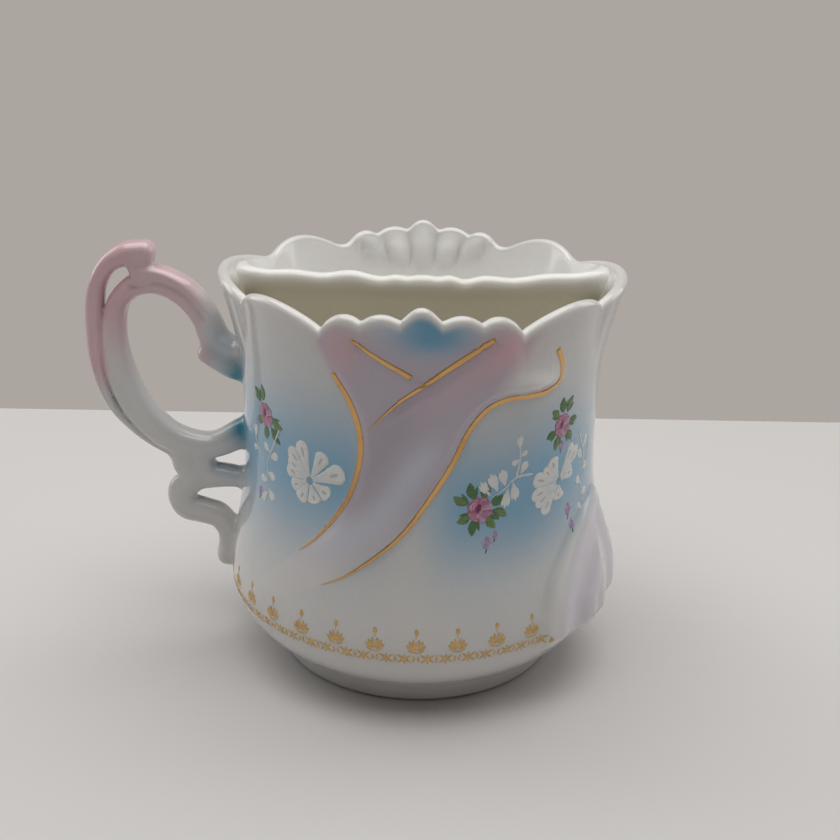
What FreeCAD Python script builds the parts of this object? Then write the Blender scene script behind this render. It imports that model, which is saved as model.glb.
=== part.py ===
import FreeCAD, Part
import Sketcher
import math
import os
from FreeCAD import Placement, Rotation, Vector

# Divided porcelain shaving mug, in millimetres. +Z is up, the foot stands on z = 0 and the
# mug's axis is the Z axis. The decorated front faces -Y and the handle stands out along -X.
# The front well takes the brush and water; the half-moon tray behind the divider holds soap.

# Driving dimensions: (word used in expressions, number, meaning). Angles are in degrees.
DIMENSIONS = [
    ("floor_radius", 34.0, "radius where the floor disc meets the wall"),
    ("wall_thickness", 3.0, "thickness of the wall"),
    ("belly_centre_radius", 29.8, "distance of the belly arc's centre from the axis"),
    ("belly_centre_height", 21.0, "height of the belly arc's centre"),
    ("belly_arc", 16.0, "radius of the belly arc"),
    ("waist_radius", 41.6, "outer radius at the waist"),
    ("waist_height", 60.0, "height of the waist"),
    ("flare_arc", 104.0, "radius of the arc that flares from the waist to the rim"),
    ("blank_height", 98.0, "height of the wall before the rim outline is cut"),
    ("foot_radius", 33.4, "outer radius of the foot ring on the table"),
    ("foot_inner_radius", 30.6, "inner radius of the foot ring"),
    ("foot_round", 0.8, "rounding of the foot ring's two lower edges"),
    ("divider_front", 5.5, "distance of the divider's front face behind the axis"),
    ("divider_thickness", 3.5, "thickness of the divider"),
    ("shelf_top", 68.0, "height of the soap tray's floor"),
    ("shelf_thickness", 3.0, "thickness of the soap tray's floor"),
    ("drain_radius", 1.8, "radius of a drain hole in the soap tray"),
    ("drain_spacing", 13.0, "spacing of the drain holes"),
    ("drain_row", 23.0, "distance of the drain holes behind the axis"),
    ("crown_tip", 96.0, "height of the crown's middle point"),
    ("loop_start_offset", -38.0, "start of the finger loop's centre line, along X"),
    ("loop_start_height", 54.8, "start of the finger loop's centre line, height"),
    ("loop_heading", 204.6, "direction in which the finger loop leaves the wall"),
    ("loop_strand", 3.4, "radius of the finger loop's strand"),
    ("leaf_start_offset", -67.4, "start of the outer leaf's centre line, along X"),
    ("leaf_start_height", 56.5, "start of the outer leaf's centre line, height"),
    ("leaf_heading", 136.0, "direction in which the outer leaf starts"),
    ("leaf_strand", 2.4, "radius of the outer leaf's strand"),
    ("scroll_start_offset", -38.0, "start of the lower scroll's centre line, along X"),
    ("scroll_start_height", 41.2, "start of the lower scroll's centre line, height"),
    ("scroll_heading", 180.0, "direction in which the lower scroll leaves the wall"),
    ("scroll_strand", 2.7, "radius of the lower scroll's strand"),
    ("thumb_offset", -64.6, "place of the thumb stem along X"),
    ("thumb_base", 88.0, "height at which the thumb stem starts, inside the loop"),
    ("thumb_top", 94.6, "height at which the thumb stem ends, inside the leaf"),
    ("lug_thickness", 6.0, "thickness of the lug and the link between the strands"),
]

# The rim outline, seen from the front: (name, distance from the middle, height) of each dip,
# with the radius of the arc that rises between it and the next dip. Both halves are the same.
RIM_DIPS = [
    ("petal", 4.3, 93.3, 8.6),
    ("shoulder", 12.6, 92.4, 6.3),
    ("valley", 21.0, 89.4, 13.6),
    ("notch", 39.8, 90.5, 9.6),
    ("outside", 50.0, 93.0, None),
]

# The divider's wavy top edge: (name, place along X, height) of each dip, and the radius of the
# arc between it and the next dip.
DIVIDER_DIPS = [
    ("far_left", -46.0, 90.4, 40.0),
    ("left", -24.0, 89.2, 30.0),
    ("middle_left", -8.0, 88.8, 14.0),
    ("middle_right", 10.0, 88.8, 40.0),
    ("right", 24.0, 89.2, 40.0),
    ("far_right", 46.0, 90.6, None),
]

# Each strand of the handle is a chain of runs and bends: (name, length or radius, degrees). At
# 0 degrees it is a straight run of that length; any other number is an arc of that radius,
# anticlockwise when positive. The loop and the scroll start inside the wall, the leaf in the
# loop's back.
STRANDS = {
    "loop": [
        ("root", 8.0, 0),
        ("sole", 17.6, -84.8),
        ("back", 29.4, -50.0),
        ("crest", 9.2, -112.0),
        ("front", 30.5, -37.2),
    ],
    "leaf": [("root", 4.2, 0), ("spur", 18.4, -34.1), ("back", 37.2, -29.9), ("crest", 12.0, -77.1)],
    "scroll": [
        ("bar", 16.0, 0),
        ("curl", 4.5, 169.0),
        ("run", 1.1, 0),
        ("knee", 8.5, -96.0),
        ("toe", 2.0, 0),
    ],
}

# Corners of the two flat webs of the handle: (name, X, height).
WEBS = {
    "lug": [
        ("side", -51.8, 75.0),
        ("lobe", -51.3, 71.0),
        ("sole", -48.6, 69.6),
        ("heel", -42.5, 65.3),
        ("root", -39.0, 64.0),
        ("top", -39.0, 77.6),
        ("brow", -44.4, 77.6),
        ("middle", -48.2, 77.4),
    ],
    "link": [
        ("low_left", -59.4, 41.2),
        ("low_right", -49.2, 41.2),
        ("high_right", -48.8, 48.6),
        ("high_left", -59.4, 48.6),
    ],
}

# Lengths below this count as nought.
TINY = 1e-6

doc = FreeCAD.newDocument("shaving_mug")
sizes = doc.addObject("Spreadsheet::Sheet", "sizes")


def fill_sheet():
    """Write every driving dimension into the sheet, each with its word as alias."""
    rows = list(DIMENSIONS)
    for family, dips in (("rim", RIM_DIPS), ("divider", DIVIDER_DIPS)):
        for word, offset, height, bump in dips:
            rows.append((f"{family}_{word}_offset", offset, "dip, distance from the middle"))
            rows.append((f"{family}_{word}_height", height, "dip, height"))
            if bump is not None:
                rows.append((f"{family}_{word}_bump", bump, "radius of the arc after the dip"))
    for strand_name, bends in STRANDS.items():
        for word, amount, turn in bends:
            rows.append((f"{strand_name}_{word}_size", amount, "length or radius of a run"))
            if turn:
                rows.append((f"{strand_name}_{word}_turn", abs(turn), "angle that a bend turns through"))
    for web_name, corners in WEBS.items():
        for word, offset, height in corners:
            rows.append((f"{web_name}_{word}_offset", offset, "corner of a web, along X"))
            rows.append((f"{web_name}_{word}_height", height, "corner of a web, height"))
    for row, (word, number, meaning) in enumerate(rows, start=1):
        sizes.set(f"A{row}", meaning)
        sizes.set(f"B{row}", str(number))
        sizes.setAlias(f"B{row}", word)
    doc.recompute()


def size(word):
    return float(sizes.get(word))


def ref(word):
    """The expression that reads one cell of the sheet."""
    return f"<<{sizes.Label}>>.{word}"


def new_body(name):
    return doc.addObject("PartDesign::Body", name)


def new_sketch(body, name, role, lift=None):
    """A sketch on one of the body's own origin planes, lifted by an expression if given."""
    sketch = body.newObject("Sketcher::SketchObject", name)
    plane = next(item for item in body.Origin.OriginFeatures if item.Role == role)
    sketch.AttachmentSupport = (plane, [""])
    sketch.MapMode = "FlatFace"
    if lift is not None:
        sketch.setExpression("AttachmentOffset.Base.z", lift)
    return sketch


def bind(sketch, kind, *where, value, expression):
    """Add a driving constraint with its starting value and tie it to the sheet."""
    number = sketch.addConstraint(Sketcher.Constraint(kind, *where, value))
    sketch.setExpression(f"Constraints[{number}]", expression)


def pin_point(sketch, geometry, point, place, across, up):
    """Hold one point of a sketch at two expressions; a negative value is a flipped distance."""
    for kind, value, expression in (("DistanceX", place.x, across), ("DistanceY", place.y, up)):
        if abs(value) < TINY:
            axis = -2 if kind == "DistanceX" else -1
            sketch.addConstraint(Sketcher.Constraint("PointOnObject", geometry, point, axis))
        else:
            bind(sketch, kind, -1, 1, geometry, point, value=value, expression=expression)


def coincide(sketch, first, first_point, second, second_point):
    sketch.addConstraint(Sketcher.Constraint("Coincident", first, first_point, second, second_point))


def arc_over(left, right, radius):
    """The short arc of a given radius that bulges upwards between two points."""
    chord = right - left
    drop = math.sqrt(radius ** 2 - (chord.Length / 2) ** 2)
    upwards = Vector(-chord.y, chord.x, 0).normalize()
    centre = (left + right) * 0.5 - upwards * drop
    return Part.Arc(left, centre + upwards * radius, right)


def vase_section(body, name, inset):
    """Half section of the turned shape on the XZ plane, moved inwards by an expression.

    A belly arc, a waist arc tangent to it and a flare arc run from the floor disc to the
    blank's top; the section closes on the axis.
    """
    sketch = new_sketch(body, name, "XZ_Plane")
    thickness = size("wall_thickness") if inset else 0.0
    less = f" - {ref('wall_thickness')}" if inset else ""
    more = f" + {ref('wall_thickness')}" if inset else ""
    belly = Vector(size("belly_centre_radius"), size("belly_centre_height"), 0)
    belly_arc = size("belly_arc") - thickness
    waist = Vector(size("waist_radius") - thickness, size("waist_height"), 0)
    flare = size("flare_arc") + thickness

    # The waist arc passes the waist level and touches the belly arc from outside.
    level = waist.y - belly.y
    gap = waist.x - belly.x
    hollow = (level ** 2 + gap ** 2 - belly_arc ** 2) / (2 * (belly_arc - gap))
    hollow_centre = Vector(waist.x + hollow, waist.y, 0)
    joint = belly + (hollow_centre - belly).normalize() * belly_arc
    reach = size("floor_radius") - belly.x
    bottom = Vector(size("floor_radius"), belly.y - math.sqrt(belly_arc ** 2 - reach ** 2), 0)
    flare_centre = Vector(waist.x + flare, waist.y, 0)
    climb = size("blank_height") - waist.y
    top = Vector(flare_centre.x - math.sqrt(flare ** 2 - climb ** 2), size("blank_height"), 0)

    def arc(centre, radius, first, last):
        circle = Part.Circle(centre, Vector(0, 0, 1), radius)
        return Part.ArcOfCircle(circle, circle.parameter(first), circle.parameter(last))

    axis_foot = Vector(0, bottom.y, 0)
    axis_top = Vector(0, top.y, 0)
    sketch.addGeometry(Part.LineSegment(axis_foot, bottom), False)
    sketch.addGeometry(arc(belly, belly_arc, bottom, joint), False)
    sketch.addGeometry(arc(hollow_centre, hollow, waist, joint), False)
    sketch.addGeometry(arc(flare_centre, flare, top, waist), False)
    sketch.addGeometry(Part.LineSegment(top, axis_top), False)
    sketch.addGeometry(Part.LineSegment(axis_top, axis_foot), False)
    floor_line, belly_part, hollow_part, flare_part, top_line, axis_line = range(6)

    coincide(sketch, floor_line, 2, belly_part, 1)
    sketch.addConstraint(Sketcher.Constraint("Tangent", belly_part, 2, hollow_part, 2))
    coincide(sketch, hollow_part, 1, flare_part, 2)
    coincide(sketch, flare_part, 1, top_line, 1)
    coincide(sketch, top_line, 2, axis_line, 1)
    coincide(sketch, axis_line, 2, floor_line, 1)
    sketch.addConstraint(Sketcher.Constraint("Horizontal", floor_line))
    sketch.addConstraint(Sketcher.Constraint("Horizontal", top_line))
    sketch.addConstraint(Sketcher.Constraint("PointOnObject", axis_line, 1, -2))
    sketch.addConstraint(Sketcher.Constraint("PointOnObject", axis_line, 2, -2))
    pin_point(sketch, belly_part, 3, belly, ref("belly_centre_radius"), ref("belly_centre_height"))
    bind(sketch, "Radius", belly_part, value=belly_arc, expression=ref("belly_arc") + less)
    bind(sketch, "DistanceX", -1, 1, floor_line, 2, value=bottom.x, expression=ref("floor_radius"))
    pin_point(sketch, hollow_part, 1, waist, ref("waist_radius") + less, ref("waist_height"))
    bind(sketch, "DistanceY", -1, 1, hollow_part, 3, value=waist.y, expression=ref("waist_height"))
    bind(sketch, "DistanceY", -1, 1, flare_part, 3, value=waist.y, expression=ref("waist_height"))
    bind(sketch, "Radius", flare_part, value=flare, expression=ref("flare_arc") + more)
    bind(sketch, "DistanceY", -1, 1, flare_part, 1, value=top.y, expression=ref("blank_height"))
    return sketch


def turn_round(body, kind, name, sketch):
    """A full-turn Revolution or Groove of a sketch about the mug's axis."""
    feature = body.newObject(f"PartDesign::{kind}", name)
    feature.Profile = sketch
    feature.ReferenceAxis = (sketch, ["V_Axis"])
    feature.Angle = 360.0
    return feature


def both_ways(body, kind, name, sketch, length=None):
    """A Pad or Pocket that runs equally to both sides of its sketch."""
    feature = body.newObject(f"PartDesign::{kind}", name)
    feature.Profile = sketch
    feature.SideType = "Symmetric"
    if length is None:
        feature.Type = "ThroughAll"
    else:
        feature.Type = "Length"
        feature.setExpression("Length", length)
    return feature


def turned_form(name, inset):
    """The turned outer form, or with inset the hollow inside it, as a plain solid."""
    body = new_body(name)
    turn_round(body, "Revolution", f"{name}_turn", vase_section(body, f"{name}_section", inset))
    return body


def wave_points(family, dips):
    """The dips of a wavy edge as (place, X expression, height expression, bump expression)."""
    points = []
    for word, offset, height, bump in dips:
        names = [ref(f"{family}_{word}_{what}") for what in ("offset", "height", "bump")]
        points.append((Vector(offset, height, 0), *names, bump))
    return points


def add_wave(sketch, points):
    """Arcs that rise between neighbouring dips, drawn from left to right."""
    numbers = []
    for here, following in zip(points, points[1:]):
        place, across, up, bump, radius = here
        # The arc runs clockwise over the rise, so its stored start is its right end.
        number = sketch.addGeometry(arc_over(place, following[0], radius), False)
        pin_point(sketch, number, 2, place, across, up)
        bind(sketch, "Radius", number, value=radius, expression=bump)
        numbers.append(number)
    for before, after in zip(numbers, numbers[1:]):
        coincide(sketch, before, 1, after, 2)
    pin_point(sketch, numbers[-1], 1, *points[-1][:3])
    return numbers


def close_wave(sketch, points, level, expression):
    """A wave closed by two upright lines and a level one, above or below it."""
    arcs = add_wave(sketch, points)
    right, left = points[-1][0], points[0][0]
    corners = [right, Vector(right.x, level, 0), Vector(left.x, level, 0), left]
    lines = []
    for start, end, kind in zip(corners, corners[1:], ("Vertical", "Horizontal", "Vertical")):
        lines.append(sketch.addGeometry(Part.LineSegment(start, end), False))
        sketch.addConstraint(Sketcher.Constraint(kind, lines[-1]))
    coincide(sketch, arcs[-1], 1, lines[0], 1)
    coincide(sketch, lines[0], 2, lines[1], 1)
    coincide(sketch, lines[1], 2, lines[2], 1)
    coincide(sketch, lines[2], 2, arcs[0], 2)
    bind(sketch, "DistanceY", -1, 1, lines[0], 2, value=level, expression=expression)


def rim_outline(body):
    """The waste above the scalloped rim, as a closed outline seen from the front."""
    sketch = new_sketch(body, "rim_outline", "XZ_Plane")
    right = wave_points("rim", RIM_DIPS)
    left = []
    for place, across, up, bump, radius in right:
        left.append((Vector(-place.x, place.y, 0), f"-{across}", up, bump, radius))
    # On the left half each arc belongs to the dip nearer the middle, so it moves one place.
    points = []
    for outer, inner in zip(reversed(left[1:]), reversed(left[:-1])):
        points.append((outer[0], outer[1], outer[2], inner[3], inner[4]))
    crown = left[0][:3]
    half = -crown[0].x
    rise = size("crown_tip") - crown[0].y
    tip_radius = (half ** 2 + rise ** 2) / (2 * rise)
    half_word = ref("rim_petal_offset")
    rise_word = f"({ref('crown_tip')} - {ref('rim_petal_height')})"
    tip_word = f"({half_word} ^ 2 + {rise_word} ^ 2) / (2 * {rise_word})"
    points.append((*crown, tip_word, tip_radius))
    points.extend(right)
    ceiling = size("blank_height") + size("wall_thickness")
    ceiling_word = f"{ref('blank_height')} + {ref('wall_thickness')}"
    close_wave(sketch, points, ceiling, ceiling_word)
    return sketch


def body_wall():
    """The thrown wall: turned outside and inside, open below for the floor, scalloped above."""
    body = new_body("body_wall")
    turn_round(body, "Revolution", "wall_outside", vase_section(body, "outside_section", False))
    turn_round(body, "Groove", "wall_inside", vase_section(body, "inside_section", True))
    doc.recompute()
    seat = new_sketch(body, "floor_seat", "XY_Plane")
    seat.addGeometry(Part.Circle(Vector(0, 0, 0), Vector(0, 0, 1), size("floor_radius")), False)
    coincide(seat, 0, 3, -1, 1)
    bind(seat, "Radius", 0, value=size("floor_radius"), expression=ref("floor_radius"))
    hole = body.newObject("PartDesign::Pocket", "floor_opening")
    hole.Profile = seat
    hole.Type = "Length"
    hole.Reversed = True
    hole.setExpression("Length", ref("belly_centre_height"))
    both_ways(body, "Pocket", "scalloped_rim", rim_outline(body))
    return body


def polygon(sketch, corners, expressions):
    """A closed outline of straight lines whose corners are held by pairs of expressions."""
    count = len(corners)
    for index in range(count):
        following = corners[(index + 1) % count]
        sketch.addGeometry(Part.LineSegment(Vector(*corners[index], 0), Vector(*following, 0)), False)
    for index in range(count):
        coincide(sketch, index, 2, (index + 1) % count, 1)
        place = Vector(*corners[index], 0)
        pin_point(sketch, index, 1, place, *expressions[index])


def floor_levels():
    """Underside and top of the floor disc, as numbers and as expressions."""
    numbers = []
    words = []
    for thickness, less in ((0.0, ""), (size("wall_thickness"), f" - {ref('wall_thickness')}")):
        arc = size("belly_arc") - thickness
        reach = size("floor_radius") - size("belly_centre_radius")
        numbers.append(size("belly_centre_height") - math.sqrt(arc ** 2 - reach ** 2))
        reach_word = f"({ref('floor_radius')} - {ref('belly_centre_radius')})"
        arc_word = f"({ref('belly_arc')}{less})"
        words.append(f"{ref('belly_centre_height')} - sqrt({arc_word} ^ 2 - {reach_word} ^ 2)")
    return numbers, words


def base_floor():
    """The floor disc, level with the wall's lower edge inside and out."""
    body = new_body("base_floor")
    _, (low_word, high_word) = floor_levels()
    sketch = new_sketch(body, "floor_circle", "XY_Plane", lift=low_word)
    sketch.addGeometry(Part.Circle(Vector(0, 0, 0), Vector(0, 0, 1), size("floor_radius")), False)
    coincide(sketch, 0, 3, -1, 1)
    bind(sketch, "Radius", 0, value=size("floor_radius"), expression=ref("floor_radius"))
    disc = body.newObject("PartDesign::Pad", "floor_disc")
    disc.Profile = sketch
    disc.Type = "Length"
    disc.setExpression("Length", f"({high_word}) - ({low_word})")
    return body


def foot_ring():
    """The ring that the mug stands on, under the floor disc."""
    body = new_body("foot_ring")
    (low, _), (low_word, _) = floor_levels()
    inner = size("foot_inner_radius")
    sketch = new_sketch(body, "ring_section", "XZ_Plane")
    corners = [(inner, 0.0), (size("foot_radius"), 0.0), (size("floor_radius"), low), (inner, low)]
    inner_word = ref("foot_inner_radius")
    expressions = [
        (inner_word, "0"),
        (ref("foot_radius"), "0"),
        (ref("floor_radius"), low_word),
        (inner_word, low_word),
    ]
    polygon(sketch, corners, expressions)
    turn_round(body, "Revolution", "ring", sketch)
    doc.recompute()
    ring = body.Tip
    lower = []
    for index, edge in enumerate(ring.Shape.Edges, start=1):
        box = edge.BoundBox
        if box.ZMax < TINY and edge.Curve.TypeId == "Part::GeomCircle":
            lower.append(f"Edge{index}")
    rounding = body.newObject("PartDesign::Fillet", "ring_rounding")
    rounding.Base = (ring, lower)
    rounding.setExpression("Radius", ref("foot_round"))
    return body


def meet(name, blank, form):
    """The part of a blank that lies inside the form, as a sub-part."""
    common = doc.addObject("Part::Common", name)
    common.Base = blank
    common.Tool = form
    return common


def trim(name, blank, *forms):
    """The part of a blank that lies outside every form, as a sub-part."""
    cut = doc.addObject("Part::Cut", name)
    cut.Base = blank
    if len(forms) == 1:
        cut.Tool = forms[0]
        return cut
    joined = doc.addObject("Part::MultiFuse", f"{name}_surroundings")
    joined.Shapes = list(forms)
    cut.Tool = joined
    return cut


def divider_wall(hollow):
    """The partition across the mug, with a wavy top edge and a lower edge at the tray."""
    blank = new_body("divider_blank")
    middle = f"-{ref('divider_front')} - {ref('divider_thickness')} / 2"
    sketch = new_sketch(blank, "divider_outline", "XZ_Plane", lift=middle)
    points = wave_points("divider", DIVIDER_DIPS)
    low = size("shelf_top") - size("shelf_thickness")
    close_wave(sketch, points, low, f"{ref('shelf_top')} - {ref('shelf_thickness')}")
    both_ways(blank, "Pad", "divider_slab", sketch, length=ref("divider_thickness"))
    return meet("divider_wall", blank, hollow)


def soap_shelf(hollow):
    """The half-moon floor of the soap tray, from the divider's back to the wall, with drains."""
    blank = new_body("shelf_blank")
    low_word = f"{ref('shelf_top')} - {ref('shelf_thickness')}"
    sketch = new_sketch(blank, "shelf_outline", "XY_Plane", lift=low_word)
    back = size("divider_front") + size("divider_thickness")
    half = size("waist_radius") + size("wall_thickness")
    back_word = f"{ref('divider_front')} + {ref('divider_thickness')}"
    half_word = f"({ref('waist_radius')} + {ref('wall_thickness')})"
    corners = [(-half, back), (half, back), (half, half), (-half, half)]
    expressions = [
        (f"-{half_word}", back_word),
        (half_word, back_word),
        (half_word, half_word),
        (f"-{half_word}", half_word),
    ]
    polygon(sketch, corners, expressions)
    slab = blank.newObject("PartDesign::Pad", "shelf_slab")
    slab.Profile = sketch
    slab.Type = "Length"
    slab.setExpression("Length", ref("shelf_thickness"))
    doc.recompute()
    drains = new_sketch(blank, "drain_circles", "XY_Plane", lift=low_word)
    spacing = size("drain_spacing")
    for index, step in enumerate((-1, 0, 1)):
        place = Vector(step * spacing, size("drain_row"), 0)
        drains.addGeometry(Part.Circle(place, Vector(0, 0, 1), size("drain_radius")), False)
        pin_point(drains, index, 3, place, f"{step} * {ref('drain_spacing')}", ref("drain_row"))
        bind(drains, "Radius", index, value=size("drain_radius"), expression=ref("drain_radius"))
    holes = blank.newObject("PartDesign::Pocket", "drain_holes")
    holes.Profile = drains
    holes.Type = "Length"
    holes.Reversed = True
    holes.setExpression("Length", ref("shelf_thickness"))
    return meet("soap_shelf", blank, hollow)


def turned(vector, angle):
    """A plane vector turned anticlockwise by an angle in radians."""
    cosine, sine = math.cos(angle), math.sin(angle)
    return Vector(vector.x * cosine - vector.y * sine, vector.x * sine + vector.y * cosine, 0)


def strand_centre_line(body, word):
    """The centre line of a strand: straight runs and tangent arcs on the XZ plane."""
    sketch = new_sketch(body, f"{word}_centre_line", "XZ_Plane")
    place = Vector(size(f"{word}_start_offset"), size(f"{word}_start_height"), 0)
    degrees = size(f"{word}_heading")
    forward = turned(Vector(1, 0, 0), math.radians(degrees))
    tail = None
    for bend, amount, turn in STRANDS[word]:
        amount_word = ref(f"{word}_{bend}_size")
        if turn == 0:
            end = place + forward * amount
            number = sketch.addGeometry(Part.LineSegment(place, end), False)
            points = (1, 2)
            bind(sketch, "Distance", number, value=amount, expression=amount_word)
        else:
            spoke = turned(forward, math.copysign(math.pi / 2, turn)) * amount
            centre = place + spoke
            middle = centre - turned(spoke, math.radians(turn / 2))
            end = centre - turned(spoke, math.radians(turn))
            number = sketch.addGeometry(Part.Arc(place, middle, end), False)
            points = (1, 2) if turn > 0 else (2, 1)
            bind(sketch, "Radius", number, value=amount, expression=amount_word)
            turn_word = ref(f"{word}_{bend}_turn")
            bind(sketch, "Angle", number, value=math.radians(abs(turn)), expression=turn_word)
            forward = turned(forward, math.radians(turn))
        if tail is None:
            pin_point(sketch, number, 1, place, ref(f"{word}_start_offset"), ref(f"{word}_start_height"))
            heading = math.radians(degrees)
            bind(sketch, "Angle", number, value=heading, expression=ref(f"{word}_heading"))
        else:
            sketch.addConstraint(Sketcher.Constraint("Tangent", *tail, number, points[0]))
        tail = (number, points[1])
        place = end
    return sketch


def strand(word):
    """A round strand of the handle, swept along its centre line."""
    body = new_body(f"{word}_strand")
    centre_line = strand_centre_line(body, word)
    section = new_sketch(body, f"{word}_section", "YZ_Plane")
    section.AttachmentOffset = Placement(Vector(0, 0, 0), Rotation(Vector(1, 0, 0), -1))
    section.setExpression("AttachmentOffset.Rotation.Angle", f"-{ref(word + '_heading')}")
    section.setExpression("AttachmentOffset.Base.y", ref(f"{word}_start_height"))
    section.setExpression("AttachmentOffset.Base.z", ref(f"{word}_start_offset"))
    radius = size(f"{word}_strand")
    section.addGeometry(Part.Circle(Vector(0, 0, 0), Vector(0, 0, 1), radius), False)
    coincide(section, 0, 3, -1, 1)
    bind(section, "Radius", 0, value=radius, expression=ref(f"{word}_strand"))
    doc.recompute()
    pipe = body.newObject("PartDesign::AdditivePipe", f"{word}_sweep")
    pipe.Profile = section
    pipe.Spine = (centre_line, [f"Edge{index + 1}" for index in range(len(STRANDS[word]))])
    return body


def web(name):
    """A flat web of the handle, centred on the XZ plane."""
    body = new_body(f"{name}_blank")
    sketch = new_sketch(body, f"{name}_outline", "XZ_Plane")
    corners = []
    expressions = []
    for word, offset, height in WEBS[name]:
        corners.append((offset, height))
        expressions.append((ref(f"{name}_{word}_offset"), ref(f"{name}_{word}_height")))
    polygon(sketch, corners, expressions)
    both_ways(body, "Pad", f"{name}_slab", sketch, length=ref("lug_thickness"))
    return body


def thumb_stem():
    """The short stem under the thumb knob."""
    stem = doc.addObject("Part::Cylinder", "thumb_stem_blank")
    stem.setExpression("Radius", ref("leaf_strand"))
    stem.setExpression("Height", f"{ref('thumb_top')} - {ref('thumb_base')}")
    stem.setExpression(".Placement.Base.x", ref("thumb_offset"))
    stem.setExpression(".Placement.Base.z", ref("thumb_base"))
    return stem


def check(parts):
    """Stop unless every object recomputed cleanly and every sub-part is one sound solid."""
    for item in doc.Objects:
        if "Invalid" in item.State or "Error" in item.State:
            raise RuntimeError(f"{item.Name} did not recompute: {item.State}")
    for part in parts:
        shape = part.Shape
        if shape.isNull() or not shape.isValid():
            raise RuntimeError(f"{part.Label} has no valid shape")
        if len(shape.Solids) != 1:
            raise RuntimeError(f"{part.Label} has {len(shape.Solids)} solids")
        print(f"{part.Label}: {shape.Volume / 1000:.3f} cm3")


fill_sheet()
outer_form = turned_form("outer_form", inset=False)
hollow_form = turned_form("hollow_form", inset=True)
doc.recompute()

loop = strand("loop")
leaf = strand("leaf")
scroll = strand("scroll")
stem = thumb_stem()
lug = web("lug")
link = web("link")
doc.recompute()

subparts = [
    body_wall(),
    base_floor(),
    foot_ring(),
    divider_wall(hollow_form),
    soap_shelf(hollow_form),
    trim("handle_loop", loop, outer_form),
    trim("handle_leaf", leaf, loop),
    trim("handle_thumb_stem", stem, loop, leaf),
    trim("handle_upper_lug", lug, loop, outer_form),
    trim("handle_link", link, loop, scroll),
    trim("handle_scroll", scroll, outer_form),
]
doc.recompute()
check(subparts)
os.makedirs("parts", exist_ok=True)
for part in subparts:
    part.Shape.exportStep(f"parts/{part.Label}.step")
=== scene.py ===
"""Looks of a divided porcelain shaving mug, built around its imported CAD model.

Shapes are worked out in millimetres and turned into metres when a mesh is made.
A place on the mug's wall is an angle, in degrees from the front towards +X, and a height.
"""

import math
import random

import bpy
import numpy as np
from mathutils import Matrix, Vector


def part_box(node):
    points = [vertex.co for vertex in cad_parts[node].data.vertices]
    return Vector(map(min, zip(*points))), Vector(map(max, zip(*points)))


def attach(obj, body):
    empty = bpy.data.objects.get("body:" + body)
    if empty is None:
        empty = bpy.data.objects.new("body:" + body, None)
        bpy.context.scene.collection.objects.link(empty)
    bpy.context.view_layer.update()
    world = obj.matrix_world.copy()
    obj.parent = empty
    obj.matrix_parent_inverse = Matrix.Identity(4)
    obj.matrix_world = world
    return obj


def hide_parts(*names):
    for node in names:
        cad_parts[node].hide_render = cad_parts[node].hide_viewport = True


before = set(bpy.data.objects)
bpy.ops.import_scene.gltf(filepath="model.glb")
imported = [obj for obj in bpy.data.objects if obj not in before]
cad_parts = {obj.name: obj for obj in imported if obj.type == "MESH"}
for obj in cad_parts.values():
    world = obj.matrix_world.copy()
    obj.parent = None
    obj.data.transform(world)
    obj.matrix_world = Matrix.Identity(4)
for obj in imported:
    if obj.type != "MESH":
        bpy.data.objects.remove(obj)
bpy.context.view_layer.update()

MM = 0.001


# ---------- sizes from the frame
def node_box(node):
    """Lowest and highest corner of a CAD node, in millimetres."""
    low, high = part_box(node)
    return np.array(low) / MM, np.array(high) / MM


FOOT_RADIUS = node_box("foot_ring")[1][0]
WELL_FLOOR = node_box("base_floor")[1][2]
DIVIDER_FRONT, DIVIDER_BACK = [corner[1] for corner in node_box("divider_wall")]
TRAY_UNDER, TRAY_TOP = [corner[2] for corner in node_box("soap_shelf")]

# Outer radius of the wall at each height, before the relief and the rim's flare.
WALL_PROFILE = [
    (4.6, 34.6), (6.5, 37.4), (9, 40.6), (13, 43.8), (18, 45.6), (24, 45.6), (31, 44.5),
    (39, 43.0), (48, 41.9), (58, 41.6), (68, 41.8), (78, 42.8), (86, 44.6), (92, 46.3), (97, 47.5),
]
WALL_FOOT = 4.6
NOMINAL_RADIUS = 43.0
DEGREE = math.pi / 180
ARC = NOMINAL_RADIUS * DEGREE          # millimetres round the wall in one degree

# The rim's lobes over a quarter turn: notch, notch, top height, radius at the top, and how
# pointed the dips are on the front and on the back (a small power makes a sharp dip).
LOBES = [
    (-5.3, 5.3, 96.0, 46.8, 1.30, 1.05),
    (5.3, 15.9, 94.2, 46.6, 1.15, 0.85),
    (15.9, 27.6, 93.3, 46.2, 0.80, 0.90),
    (27.6, 61.3, 94.1, 46.2, 0.85, 1.20),
    (61.3, 118.7, 94.1, 47.0, 0.50, 0.95),
]
LAST_NOTCH = 61.3
NOTCHES = {5.3: (93.2, 46.4), 15.9: (92.3, 46.0), 27.6: (89.4, 44.9), 61.3: (90.6, 44.4)}


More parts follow.
